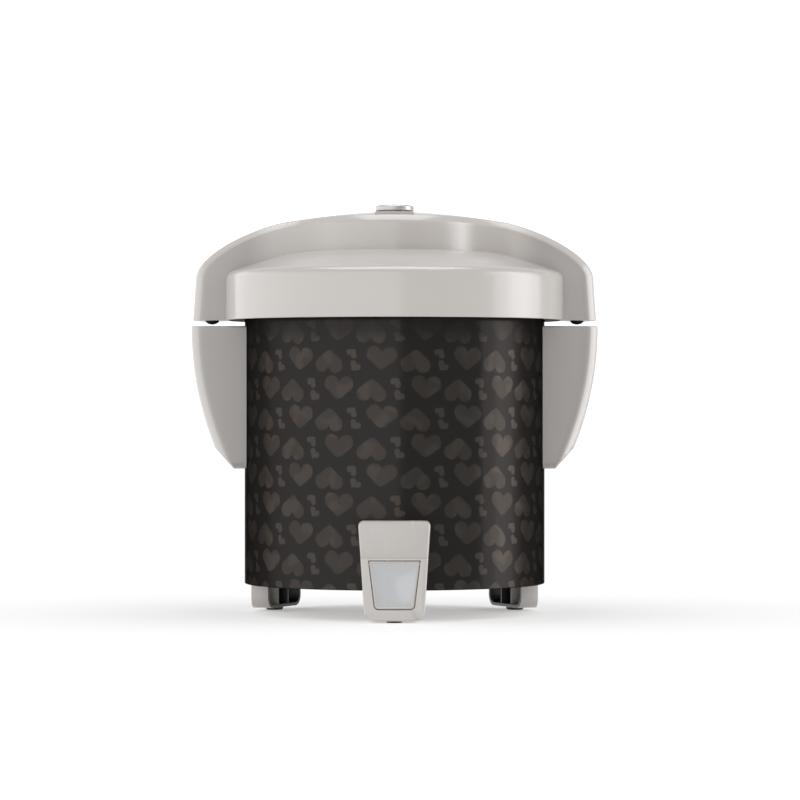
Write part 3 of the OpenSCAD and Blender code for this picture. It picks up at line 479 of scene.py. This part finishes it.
sheet_steel = brushed("sheet_steel", srgb(186, 187, 189), 0.3, (30, 30, 1))
pin_steel = brushed("pin_steel", srgb(200, 200, 202), 0.2, (30, 1, 1))
spring_steel = brushed("spring_steel", srgb(170, 170, 173), 0.25, (1, 1, 8))
heater_sheath = brushed("heater_sheath", srgb(98, 90, 84), 0.45, (6, 6, 6))
sheet_aluminium = brushed("sheet_aluminium", srgb(208, 208, 209), 0.28, (20, 1, 1))
pot_aluminium = brushed("pot_aluminium", srgb(176, 177, 179), 0.34, (1, 1, 24))
polished_metal = brushed("polished_metal", srgb(206, 205, 203), 0.3, (1, 1, 1), 0.000004, 0.35)
brass = brushed("brass", srgb(206, 176, 108), 0.24, (1, 14, 1))
cast_aluminium = cast("cast_aluminium", srgb(190, 191, 193), 0.4)
magnet = cast("magnet", srgb(120, 120, 124), 0.38)
ferrite = cast("ferrite", srgb(58, 58, 60), 0.6, metallic=0.0)
white_ceramic = cast("white_ceramic", srgb(226, 222, 212), 0.3, 260, 0.00002, 0.0)
mica = cast("mica", srgb(182, 164, 120), 0.35, 120, 0.00003, 0.0)

# %% Rubber, fibre and clear pieces
def rubber(name, colour, roughness=0.7):
    """Dull rubber with a dusty bloom."""
    finish = Finish(name, roughness)
    bloom = finish.noise(220, 4)
    light = tuple(min(1, c * 1.5 + 0.004) for c in colour[:3]) + (1,)
    finish.set("Base Color", finish.mix(bloom, colour, light))
    finish.set("Roughness", finish.span(bloom, roughness - 0.1, roughness + 0.1))
    finish.bump(finish.noise(1500, 3), 0.00003, 0.6)
    return finish.material


def clear(name, colour, transmission=0.7, roughness=0.12):
    """Clear or tinted plastic."""
    finish = Finish(name, roughness)
    finish.set("Base Color", finish.mix(finish.noise(30, 2), colour,
                                        tuple(c * 0.93 for c in colour[:3]) + (1,)))
    finish.set("Transmission Weight", transmission)
    finish.set("Roughness", finish.span(finish.noise(90, 3), roughness, roughness + 0.1))
    finish.bump(finish.noise(300, 2), 0.00001, 0.4)
    return finish.material


black_rubber = rubber("black_rubber", srgb(30, 30, 31))
silicone = rubber("silicone", srgb(214, 213, 208), 0.42)
wire_sleeve = rubber("wire_sleeve", srgb(150, 32, 26), 0.45)
clear_plastic = clear("clear_plastic", srgb(214, 220, 224))
red_lens = clear("red_lens", srgb(206, 40, 28), 0.4)
amber_lens = clear("amber_lens", srgb(228, 150, 30), 0.4)

glass_wool = Finish("glass_wool", 0.95)
fibres = glass_wool.noise(420, 6, (1, 1, 6), 2.0)
glass_wool.set("Base Color", glass_wool.mix(fibres, srgb(196, 182, 132), srgb(238, 230, 200)))
glass_wool.bump(fibres, 0.0008, 0.9)

board = Finish("circuit_board", 0.35)
tracks = board.add("ShaderNodeTexBrick")
board.plug(board.place, tracks.inputs["Vector"])
tracks.inputs["Scale"].default_value = 260
tracks.inputs["Color1"].default_value = srgb(30, 92, 58)
tracks.inputs["Color2"].default_value = srgb(24, 78, 50)
tracks.inputs["Mortar"].default_value = srgb(66, 132, 86)
board.set("Base Color", tracks.outputs["Color"])
board.bump(tracks.outputs["Fac"], 0.00004, 0.5)

# %% Finishes for the ready made pieces
ready_made = {
    black_plastic: ["top_ring", "dew_bracket", "power_inlet", "microswitch"],
    inner_plastic: ["base_pan", "lid_liner", "steam_tube"],
    button_plastic: ["open_button"],
    black_rubber: ["rear_left_pad", "rear_right_pad", "front_pad", "wing_bumpers"],
    silicone: ["lid_gasket"],
    wire_sleeve: ["wiring"],
    clear_plastic: ["dew_collector"],
    red_lens: ["cook_lamp"],
    amber_lens: ["warm_lamp"],
    board.material: ["lamp_board"],
    glass_wool.material: ["lid_insulation"],
    cast_aluminium: ["heating_plate"],
    sheet_aluminium: ["inner_lid_plate", "sensor_cap"],
    sheet_steel: ["inner_liner", "thermostat_housing", "lever_bracket", "seesaw_lever",
                  "latch_hook", "catch_plate"],
    pin_steel: ["hinge_pin", "paddle_pin", "lever_pin", "latch_pin", "handle_screws",
                "leg_screws", "plate_screws", "lid_screws"],
    spring_steel: ["hinge_spring", "sensor_spring", "magnet_spring", "button_spring"],
    heater_sheath: ["heater_element"],
    ferrite: ["thermal_ferrite"],
    magnet: ["magnet_plunger"],
    mica: ["keep_warm_band"],
    white_ceramic: ["terminal_block", "thermal_fuse"],
    brass: ["inlet_pins"],
}


def dress(node, material):
    """Puts a material in every slot of a ready made piece."""
    for place in nodes[node].material_slots:
        place.material = material


for material, names in ready_made.items():
    for name in names:
        dress(name, material)
for name, material in (("left_handle", pale_plastic), ("right_handle", pale_plastic),
                       ("rear_left_leg", pale_plastic), ("rear_right_leg", pale_plastic),
                       ("switch_cover", pale_plastic), ("switch_housing", switch_plastic),
                       ("cook_paddle", paddle_plastic), ("lid_cover", pale_plastic),
                       ("lid_bridge", pale_plastic), ("body_shell", drum_print),
                       ("inner_pot", pot_aluminium), ("steam_cap", polished_metal)):
    dress(name, material)

# %% [markdown]
# ## Helpers for new pieces
# A new piece starts as a bmesh. When it is done it rides on the body that carries it, stands
# for the plain solid, and takes its finish.

# %% Piece helper
def finish_piece(name, bm, body, stands_for, material, smooth=True, sharp=35):
    """Turns a bmesh into a named piece on a body, in place of ready made nodes."""
    mesh = bpy.data.meshes.new(name)
    for face in bm.faces:
        face.smooth = smooth
    bm.to_mesh(mesh)
    bm.free()
    mesh.set_sharp_from_angle(angle=radians(sharp))
    mesh.materials.append(material)
    piece = bpy.data.objects.new(name, mesh)
    bpy.context.collection.objects.link(piece)
    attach(piece, body)
    if stands_for:
        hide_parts(*stands_for)
    print(name, len(mesh.polygons), "faces")
    return piece


def lathe(profile, steps=192):
    """Spins a closed or open outline of (radius, height) points round the upright axis."""
    bm = bmesh.new()
    verts = [bm.verts.new((r, 0, z)) for r, z in profile]
    edges = [bm.edges.new(pair) for pair in zip(verts, verts[1:])]
    bmesh.ops.spin(bm, geom=verts + edges, cent=(0, 0, 0), axis=(0, 0, 1), angle=2 * pi,
                   steps=steps, use_merge=True)
    bmesh.ops.remove_doubles(bm, verts=bm.verts, dist=1e-6)
    bmesh.ops.recalc_face_normals(bm, faces=bm.faces)
    return bm


def curve(a, b, c, d, count):
    """Points along a curve from a to d that leaves towards b and arrives from c."""
    points = []
    for i in range(count + 1):
        t = i / count
        s = 1 - t
        points.append(tuple(s ** 3 * p + 3 * s * s * t * q + 3 * s * t * t * r + t ** 3 * e
                            for p, q, r, e in zip(a, b, c, d)))
    return points


def round_arc(centre, radius, start, stop, count):
    """Points on an arc, with angles in degrees."""
    return [(centre[0] + radius * cos(radians(start + (stop - start) * i / count)),
             centre[1] + radius * sin(radians(start + (stop - start) * i / count)))
            for i in range(count + 1)]


def brick(size, middle):
    """A closed box, as a cutter."""
    bm = bmesh.new()
    bmesh.ops.create_cube(bm, size=1)
    bmesh.ops.scale(bm, verts=bm.verts, vec=size)
    bmesh.ops.translate(bm, verts=bm.verts, vec=middle)
    return bm


def carve(bm, *cutters):
    """Cuts closed shapes out of a closed shape, and frees the cutters."""
    def holder(shape, name):
        mesh = bpy.data.meshes.new(name)
        shape.to_mesh(mesh)
        shape.free()
        thing = bpy.data.objects.new(name, mesh)
        bpy.context.collection.objects.link(thing)
        return thing

    things = [holder(bm, "carved")] + [holder(cutter, "cutter") for cutter in cutters]
    for cutter in things[1:]:
        cut = things[0].modifiers.new("cut", "BOOLEAN")
        cut.operation = "DIFFERENCE"
        cut.solver = "EXACT"
        cut.object = cutter
    bpy.context.view_layer.update()
    result = bmesh.new()
    result.from_mesh(things[0].evaluated_get(bpy.context.evaluated_depsgraph_get()).to_mesh())
    for thing in things:
        mesh = thing.data
        bpy.data.objects.remove(thing)
        bpy.data.meshes.remove(mesh)
    return result


def move_along(points, fraction):
    """The place and the direction at a fraction of an outline's length."""
    lengths = [hypot(b[0] - a[0], b[1] - a[1]) for a, b in zip(points, points[1:])]
    left = fraction * sum(lengths)
    for a, b, length in zip(points, points[1:], lengths):
        if left <= length or b is points[-1]:
            t = min(left / length, 1)
            return ((a[0] + (b[0] - a[0]) * t, a[1] + (b[1] - a[1]) * t),
                    ((b[0] - a[0]) / length, (b[1] - a[1]) / length))
        left -= length


# %% [markdown]
# ## The drum
# The drum is a rolled sheet with a small curl at its lower edge. Spinning one outline gives a
# rounder wall than the ready made solid has.

# %% Drum
drum_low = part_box("body_shell")[0].z
drum_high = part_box("body_shell")[1].z
DRUM_WALL = 1.0 * MM
DRUM_CURL = 0.8 * MM
DRUM_LIP = 4 * MM
drum_outline = (round_arc((DRUM_R - DRUM_CURL, drum_low + DRUM_CURL), DRUM_CURL, 270, 360, 6)
                + [(DRUM_R, drum_low + (drum_high - drum_low) * i / 8) for i in range(1, 8)]
                + round_arc((DRUM_R - DRUM_CURL, drum_high - DRUM_CURL), DRUM_CURL, 0, 90, 6)
                + [(DRUM_R - DRUM_LIP, drum_high), (DRUM_R - DRUM_LIP, drum_high - DRUM_WALL),
                   (DRUM_R - DRUM_WALL, drum_high - DRUM_WALL), (DRUM_R - DRUM_WALL, drum_low),
                   (DRUM_R - DRUM_CURL, drum_low)])
# An opening for the power inlet at the back, and one at the front for the lever
INLET_HALF = (17.1 * MM, 11.1 * MM)
INLET_Z = 42.25 * MM
LEVER_OPENING = (14 * MM, 17 * MM, 26.2 * MM)
LEVER_OPENING_AT = (0, -DRUM_R + 3.5 * MM, 40.6 * MM)
inlet_cut = brick((2 * INLET_HALF[0], 30 * MM, 2 * INLET_HALF[1]), (0, DRUM_R, INLET_Z))
lever_cut = brick(LEVER_OPENING, LEVER_OPENING_AT)
drum = carve(lathe(drum_outline, 256), inlet_cut, lever_cut)
finish_piece("drum", drum, "base", ["body_shell"], drum_print)

# %% [markdown]
# ## The lid's dome and skirt
# The skirt is an upright band round the drum's rim. It turns over a small round edge into a
# low dome. The wall has an even thickness, so the inside is the same outline, moved inwards.

# %% Lid dome
SKIRT_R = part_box("lid_cover")[1].x
LID_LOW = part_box("lid_cover")[0].z
LID_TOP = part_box("lid_cover")[1].z
SKIRT_TOP = LID_LOW + 34 * MM
LID_WALL = 2.5 * MM


def dome_outline(inset):
    """From the axis outwards and down to the skirt's foot."""
    r = SKIRT_R - inset
    top = LID_TOP - inset
    shoulder = SKIRT_TOP - inset
    return ([(0, top), (r - 100 * MM, top)]
            + curve((r - 65 * MM, top), (r - 44 * MM, top),
                    (r - 24 * MM, shoulder + 10.5 * MM), (r - 10 * MM, shoulder + 6.6 * MM), 16)
            + curve((r - 9.4 * MM, shoulder + 6.4 * MM), (r - 4 * MM, shoulder + 4.9 * MM),
                    (r, shoulder + 3.6 * MM), (r, shoulder - 2 * MM), 12))


foot = round_arc((SKIRT_R - 0.7 * MM, LID_LOW + 0.7 * MM), 0.7 * MM, 0, -90, 4)
lid_profile = (dome_outline(0) + foot + [(SKIRT_R - LID_WALL, LID_LOW)]
               + dome_outline(LID_WALL)[::-1])
finish_piece("lid_dome", lathe(lid_profile, 256), "lid", ["lid_cover"],
             pale_plastic)

# %% [markdown]
# ## Sheets that follow two outlines
# The arch and the handles are neither spun nor extruded: their width, their outline and their
# chamfer all change along the way. A flat grid has the right mesh for them, so it is made
# first, and each of its points is then moved to its place on the moulding.

# %% Grid helper
def fitted_grid(columns, rows, place):
    """A grid whose points are moved to place(column, row)."""
    bm = bmesh.new()
    bmesh.ops.create_grid(bm, x_segments=columns - 1, y_segments=rows - 1, size=0.5)
    for vert in bm.verts:
        column = round((vert.co.x + 0.5) * (columns - 1))
        row = round((vert.co.y + 0.5) * (rows - 1))
        vert.co = place(column, row)
    bmesh.ops.remove_doubles(bm, verts=bm.verts, dist=1e-6)
    return bm


def at_radius(points, r):
    """The height of an outline of (radius, height) points at a radius."""
    for a, b in zip(points, points[1:]):
        if r <= b[0]:
            return a[1] + (b[1] - a[1]) * (r - a[0]) / (b[0] - a[0])
    return points[-1][1]


def soften(bm, edges, width, segments=3):
    """Rounds the given edges."""
    bmesh.ops.bevel(bm, geom=edges, offset=width, offset_type="OFFSET", segments=segments,
                    profile=0.5, affect="EDGES", clamp_overlap=True, material=-1)


# %% [markdown]
# ## The arch
# The arch crosses the lid from side to side. Seen from above it swells at the middle to make
# room for the steam cap and the button, draws in along a hollow on each side, and then runs
# straight out to the wings. Seen from the front it is one long curve with a softly cut edge.

# %% The arch's outlines
bridge_low, bridge_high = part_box("lid_bridge")
WING_R = bridge_high.x
ARCH_TOP = bridge_high.z
WING_HALF = 25.6 * MM
BULGE_R = 77.6 * MM
HOLLOW_R = 56 * MM
BULGE_SET = 14.6 * MM
HOLLOW_Y = WING_HALF + HOLLOW_R
HOLLOW_X = sqrt((BULGE_R + HOLLOW_R) ** 2 - (HOLLOW_Y + BULGE_SET) ** 2)
TOUCH_X = HOLLOW_X * BULGE_R / (BULGE_R + HOLLOW_R)

arch_outline = (
    curve((0, ARCH_TOP), (30 * MM, ARCH_TOP - 1.6 * MM), (58 * MM, ARCH_TOP - 5 * MM),
          (WING_R - 76 * MM, ARCH_TOP - 9.3 * MM), 60)
    + curve((WING_R - 75 * MM, ARCH_TOP - 9.45 * MM), (WING_R - 49 * MM, ARCH_TOP - 13.6 * MM),
            (WING_R - 4.3 * MM, ARCH_TOP - 34.6 * MM),
            (WING_R - 2.4 * MM, ARCH_TOP - 53.6 * MM), 90)
    + [(WING_R - 1.6 * MM, ARCH_TOP - 65 * MM), (WING_R - 0.8 * MM, ARCH_TOP - 77 * MM),
       (WING_R, LID_LOW)])


def half_width(x):
    """The arch's half width from front to back, and how fast it changes, at x."""
    x = min(x, HOLLOW_X)
    if x < TOUCH_X:
        y = sqrt(BULGE_R ** 2 - x * x)
        return y - BULGE_SET, -x / y
    y = sqrt(HOLLOW_R ** 2 - (HOLLOW_X - x) ** 2)
    return HOLLOW_Y - y, -(HOLLOW_X - x) / y


# %% Stations along the arch
def on_arch(part, depth, reach, width, blend):
    """A point on the arch's skin at part of its width, or sunk into it by a depth."""
    y = part * width
    x = sqrt(reach[0] ** 2 + blend * (width ** 2 - y * y))
    if blend < 1:
        z = at_radius(arch_outline, hypot(x, y))
    else:
        z = reach[1]
    return Vector((x - reach[2] * depth, y, z - reach[3] * depth))


inner_outline = [(max(r - 1.4 * MM, 0), z - 1.6 * MM) for r, z in dome_outline(0)] + [
    (SKIRT_R - 1.4 * MM, LID_LOW)]
stations = []
for i in range(41):
    x = HOLLOW_X * i / 41
    width, slope = half_width(x)
    r = hypot(x, width)
    dz = (at_radius(arch_outline, r + MM) - at_radius(arch_outline, max(r - MM, 0))) / (2 * MM)
    length = hypot(1, dz)
    stations.append(((x, at_radius(arch_outline, r), -dz / length * x / max(r, MM), 1 / length),
                     width, slope, 0, (x, at_radius(inner_outline, r))))
outer_part = [p for p in arch_outline if p[0] > hypot(HOLLOW_X, WING_HALF)]
inner_part = [p for p in inner_outline if p[0] > hypot(HOLLOW_X, WING_HALF)]
for i in range(49):
    t = i / 48
    (r, z), (dr, dz) = move_along(outer_part, t)
    (ri, zi), _ = move_along(inner_part, t)
    x = sqrt(r * r - WING_HALF ** 2)
    stations.append(((x, z, -dz, dr), WING_HALF, 0, min(1, t / 0.45),
                     (sqrt(ri * ri - WING_HALF ** 2), zi)))

# The edge is a soft chamfer, given as how far in from the face and how far down it is.
EDGE = [(0, 1.22), (0.02, 1.08), (0.09, 0.9), (0.24, 0.7), (0.5, 0.43), (0.72, 0.22),
        (0.92, 0.08), (1.1, 0.02), (1.25, 0)]
TOP_PARTS = [-0.8, -0.6, -0.4, -0.2, 0, 0.2, 0.4, 0.6, 0.8]


def arch_ring(station):
    """The points round the arch at a station, from the front's lower edge to the back's."""
    reach, width, slope, blend, inner = station
    chamfer = (5.2 + 0.9 * (reach[0] / WING_R) ** 4) * MM
    lean = sqrt(1 + slope * slope)
    points = []
    for side in (-1, 1):
        rim = []
        for inset, depth in EDGE:
            part = side * (1 - inset * chamfer * lean / width)
            rim.append(on_arch(part, depth * chamfer, reach, width, blend))
        face = rim[0].copy()
        foot = Vector((inner[0], side * width, inner[1]))
        down = [foot.lerp(face, k / 6) for k in range(6)]
        points.append(down + rim)
    edge_part = 1 - EDGE[-1][0] * chamfer * lean / width
    top = [on_arch(part * edge_part, 0, reach, width, blend) for part in TOP_PARTS]
    front, back = points
    inside = [back[0].lerp(front[0], k / 4) for k in range(1, 5)]
    return front + top + back[::-1] + inside


rings = [arch_ring(station) for station in stations]
rings = [[Vector((-p.x, p.y, p.z)) for p in ring] for ring in rings[:0:-1]] + rings
print("arch:", len(rings), "stations of", len(rings[0]), "points")

# %% Arch
CAP_WELL_R = 13 * MM
BUTTON_SLOT = (30.8 * MM, 12.8 * MM, 26 * MM)
arch = fitted_grid(len(rings), len(rings[0]), lambda column, row: rings[column][row])
feet = [edge for edge in arch.edges if edge.is_boundary]
bmesh.ops.holes_fill(arch, edges=feet, sides=0)
bmesh.ops.recalc_face_normals(arch, faces=arch.faces)
cap_low, cap_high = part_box("steam_cap")
key_low, key_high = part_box("open_button")
well = bmesh.new()
bmesh.ops.create_cone(well, cap_ends=True, segments=96, radius1=CAP_WELL_R,
                      radius2=CAP_WELL_R, depth=60 * MM)
bmesh.ops.translate(well, verts=well.verts, vec=(0, 0, ARCH_TOP))
slot = brick(BUTTON_SLOT, (0, (key_low.y + key_high.y) / 2, ARCH_TOP))
soften(slot, [e for e in slot.edges if abs(e.verts[0].co.z - e.verts[1].co.z) > MM], 2.2 * MM, 6)
arch = carve(arch, well, slot)
finish_piece("arch", arch, "lid", ["lid_bridge"], arch_plastic_painted_shade, sharp=40)

# %% [markdown]
# ## The side handles
# Each handle is a hollow shell, open underneath for the fingers, that hugs the drum. Its
# outline starts upright under the wing and then draws in towards the drum. The cut edge of
# the wings goes on down the handle's whole length.

# %% Handle outline
handle_low, handle_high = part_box("right_handle")
HANDLE_R = handle_high.x
HANDLE_TOP = handle_high.z
HANDLE_FOOT = handle_low.z
HANDLE_WALL = 3 * MM
HANDLE_CHAMFER = 6.4 * MM
kink = (HANDLE_R - 18.1 * MM, HANDLE_FOOT + 18.6 * MM)
handle_curve = curve((HANDLE_R, HANDLE_TOP), (HANDLE_R, HANDLE_TOP - 36 * MM),
                     (HANDLE_R - 7 * MM, HANDLE_FOOT + 47 * MM), kink, 40)
slope = (kink[0] - handle_curve[-2][0], kink[1] - handle_curve[-2][1])
handle_curve += [(kink[0] + slope[0] * k * 3, kink[1] + slope[1] * k * 3) for k in (1, 2, 3, 4)]


def handle_ring(r, z):
    """The points round a handle at one height, from the drum's side outwards and back."""
    half = []
    against = DRUM_R + 0.35 * MM
    edge_x = sqrt(r * r - WING_HALF ** 2)
    near_x = sqrt(against ** 2 - WING_HALF ** 2)
    start = edge_x - EDGE[0][1] * HANDLE_CHAMFER
    half += [(near_x + (start - near_x) * k / 6, WING_HALF) for k in range(6)]
    for inset, depth in EDGE:
        y = WING_HALF - inset * HANDLE_CHAMFER
        half.append((sqrt(r * r - y * y) - depth * HANDLE_CHAMFER, y))
    y_last = half[-1][1]
    half += [(sqrt(r * r - (y_last * k / 4) ** 2), y_last * k / 4) for k in (3, 2, 1, 0)]
    ring = [(x, -y) for x, y in half] + half[-2::-1]
    back = [(sqrt(against ** 2 - (WING_HALF * k / 6) ** 2), WING_HALF * k / 6)
            for k in range(5, -7, -1)]
    return [Vector((x, y, z)) for x, y in ring + back]


handle_rings = [handle_ring(r, z) for r, z in handle_curve]


# %% Handles
def make_handle(name, side, node):
    """One handle, on the left (-1) or the right (1)."""
    bm = fitted_grid(len(handle_rings), len(handle_rings[0]),
                     lambda column, row: handle_rings[column][row])
    top_edges = [e for e in bm.edges if e.is_boundary and e.verts[0].co.z > HANDLE_TOP - MM]
    bmesh.ops.holes_fill(bm, edges=top_edges, sides=0)
    # The foot is cut level at the drum and slanted up to the kink.
    lean = Vector((kink[1] - HANDLE_FOOT, 0, -(kink[0] - DRUM_R - 7.6 * MM)))
    for point, normal in (((0, 0, HANDLE_FOOT), (0, 0, -1)), ((kink[0], 0, kink[1]), lean)):
        bmesh.ops.bisect_plane(bm, geom=bm.verts[:] + bm.edges[:] + bm.faces[:], dist=1e-7,
                               plane_co=point, plane_no=normal, clear_outer=True)
    top = [e for e in bm.edges if all(v.co.z > HANDLE_TOP - 1e-5 for v in e.verts)
           and len(e.link_faces) == 2 and e.calc_face_angle() > 1]
    soften(bm, top, 0.9 * MM)
    if side < 0:
        bmesh.ops.scale(bm, verts=bm.verts, vec=(-1, 1, 1))
    bmesh.ops.recalc_face_normals(bm, faces=bm.faces)
    if max(bm.faces, key=lambda f: f.calc_center_median().z).normal.z < 0:
        bmesh.ops.reverse_faces(bm, faces=bm.faces)
    piece = finish_piece(name, bm, "base", [node], arch_plastic_painted_shade, sharp=40)
    wall = piece.modifiers.new("wall", "SOLIDIFY")
    wall.thickness = HANDLE_WALL
    wall.offset = -1
    wall.use_even_offset = True
    return piece


make_handle("left_grip", -1, "left_handle")
make_handle("right_grip", 1, "right_handle")

# %% [markdown]
# ## Pieces that only need soft edges
# Some ready made pieces already have the right shape, but a real moulding never has a knife
# edge. A copy of each is merged into clean faces, and its edges are rounded.

# %% Copies with soft edges
def clean_copy(node):
    """A merged copy of a ready made mesh, with flat areas joined into single faces."""
    bm = bmesh.new()
    bm.from_mesh(nodes[node].data)
    bmesh.ops.remove_doubles(bm, verts=bm.verts, dist=1e-6)
    bmesh.ops.dissolve_limit(bm, angle_limit=radians(0.6), verts=bm.verts, edges=bm.edges)
    return bm


def corners(bm, angle=50):
    """The outward edges that turn by more than an angle."""
    return [e for e in bm.edges if len(e.link_faces) == 2 and e.is_convex
            and e.calc_face_angle() > radians(angle)]


# %% [markdown]
# ## The switch foot
# The front foot holds the switch. It is two mouldings that meet at a seam: the upper one
# covers the lamps and the lower one frames the paddle. Their front edges have a broad round,
# but along the seam they stay sharp so that the two faces run on.

# %% Switch mouldings
FRONT_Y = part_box("switch_cover")[0].y
SEAM_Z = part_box("switch_cover")[1].z


def front_rim(bm):
    """The edges round a moulding's front face, apart from its seam and its opening."""
    face = max((f for f in bm.faces if f.normal.y < -0.99), key=lambda f: f.calc_area())
    rim = []
    for edge in face.edges:
        middle = (edge.verts[0].co + edge.verts[1].co) / 2
        on_seam = abs(middle.z - SEAM_Z) < 0.3 * MM
        near_edge = abs(middle.x) > 20.6 * MM or middle.z < 9.2 * MM or middle.z > SEAM_Z + 5 * MM
        if not on_seam and near_edge and edge.is_convex:
            rim.append(edge)
    return rim


FRONT_ROUND = 2.6 * MM
SEAM_ROUND = 0.35 * MM
for node, name, slot_name, material in (
        ("switch_housing", "switch_top", "switch_top_plastic", switch_plastic),
        ("switch_cover", "switch_foot", "grey_plastic", pale_plastic)):
    moulding = clean_copy(node)
    soften(moulding, front_rim(moulding), FRONT_ROUND, 5)
    # The seam shows most where it runs out at the two sides.
    soften(moulding, [e for e in corners(moulding) if all(abs(v.co.z - SEAM_Z) < 0.1 * MM
                      and abs(v.co.x) > 20.8 * MM for v in e.verts)], SEAM_ROUND, 2)
    finish_piece(name, moulding, "base", [node], material, sharp=32)

# %% Paddle
paddle = clean_copy("cook_paddle")
paddle_face = max((f for f in paddle.faces if f.normal.y < -0.99), key=lambda f: f.calc_area())
soften(paddle, list(paddle_face.edges), 0.5 * MM, 2)
paddle_face = max((f for f in paddle.faces if f.normal.y < -0.99), key=lambda f: f.calc_area())
bmesh.ops.inset_region(paddle, faces=[paddle_face], thickness=1.7 * MM, depth=0)
bmesh.ops.inset_region(paddle, faces=[paddle_face], thickness=0.4 * MM, depth=-0.35 * MM)
paddle_face.material_index = 1
piece = finish_piece("paddle", paddle, "paddle", ["cook_paddle"], pale_plastic,
                     sharp=32)
piece.data.materials.append(paddle_plastic)

# %% [markdown]
# ## The rear feet
# Each rear foot is a pale shell outside, painted a little darker than the lid as painted shade,
# and its faces inside, where they face the middle of the cooker, take the black plastic.

# %% Rear feet
LEG_ANGLE = radians(24)
for side, node, name in ((-1, "rear_left_leg", "left_foot"), (1, "rear_right_leg", "right_foot")):
    leg = clean_copy(node)
    # The way from the cooker's middle to this foot, and the way across the foot
    out = Vector((side * cos(LEG_ANGLE), sin(LEG_ANGLE), 0))
    along = Vector((-out.y, out.x, 0))
    soften(leg, corners(leg), 0.6 * MM, 2)
    for face in leg.faces:
        middle = face.calc_center_median()
        outwards = face.normal.dot(along) * (1 if middle.dot(along) > 0 else -1)
        skin = (outwards > 0.2 or face.normal.dot(middle.normalized()) > 0.6
                or (face.normal.z < -0.2 and middle.z < 12 * MM))
        if not skin:
            face.material_index = 1
    piece = finish_piece(name, leg, "base", [node], foot_plastic_painted_shade, sharp=32)
    piece.data.materials.append(black_plastic)

# %% [markdown]
# ## Coil springs
# Three coil springs lie under moving pieces, and each shortens as its piece is pressed. A rigid
# coil would be cut by the piece. Here each coil is a merged copy of its ready made spring on the
# body that carries it, and it keeps its rest shape. The magnet's coil has almost no room left at
# its limit, where a real one would jam before that.

# %% Springs
# The magnet travels about as far as its coil is long.
for node, name, body, joint, travel in (
        ("button_spring", "button_coil", "lid", "open_button_press", 4.5 * MM),
        ("sensor_spring", "sensor_coil", "base", "sensor_press", 2.0 * MM),
        ("magnet_spring", "magnet_coil", "base", "magnet_lift", 5.6 * MM)):
    coil = finish_piece(name, clean_copy(node), body, [node], spring_steel)
    low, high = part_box(node)
    # Only the magnet comes from below.
    middle = (low + high) / 2
    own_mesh(coil)

# %% [markdown]
# ## The steam cap
# A low turned button of brushed metal sits over the steam tube, on top of the arch.

# %% Steam cap
CAP_R = cap_high.x
cap_base = ARCH_TOP
cap_profile = ([(0, cap_high.z)]
               + curve((3 * MM, cap_high.z), (CAP_R - 5 * MM, cap_high.z),
                       (CAP_R, cap_high.z - 0.3 * MM), (CAP_R, cap_high.z - 2 * MM), 14)
               + [(CAP_R, cap_base + 0.5 * MM), (CAP_R - 0.4 * MM, cap_base + 0.05 * MM),
                  (CAP_R - 5.2 * MM, cap_base), (CAP_R - 5.2 * MM, cap_low.z),
                  (CAP_R - 7 * MM, cap_low.z), (CAP_R - 7 * MM, cap_base - 1 * MM),
                  (0, cap_base - 1 * MM)])
finish_piece("vent_cap", lathe(cap_profile, 128), "cap", ["steam_cap"],
             polished_metal, sharp=30)

# %% [markdown]
# ## The floor
# The table is white paper that glows a little, so that it runs into the white behind it and
# only a soft shadow shows where the cooker stands. It isn't part of the cooker.

# %% Floor
FLOOR_GLOW = 0.3
floor_bm = bmesh.new()
bmesh.ops.create_grid(floor_bm, x_segments=4, y_segments=4, size=40)
floor_mesh = bpy.data.meshes.new("floor")
floor_bm.to_mesh(floor_mesh)
floor_bm.free()
floor = bpy.data.objects.new("floor", floor_mesh)
bpy.context.collection.objects.link(floor)
floor_finish = Finish("floor_white", 0.9)
floor_finish.set("Base Color", floor_finish.mix(floor_finish.noise(3, 2), (0.79, 0.79, 0.79, 1),
                                                (0.81, 0.81, 0.81, 1)))
floor_finish.set("Specular IOR Level", 0.0)
floor_finish.set("Emission Color", (1, 1, 1, 1))
floor_finish.set("Emission Strength", FLOOR_GLOW)
floor_mesh.materials.append(floor_finish.material)
floor.visible_glossy = False
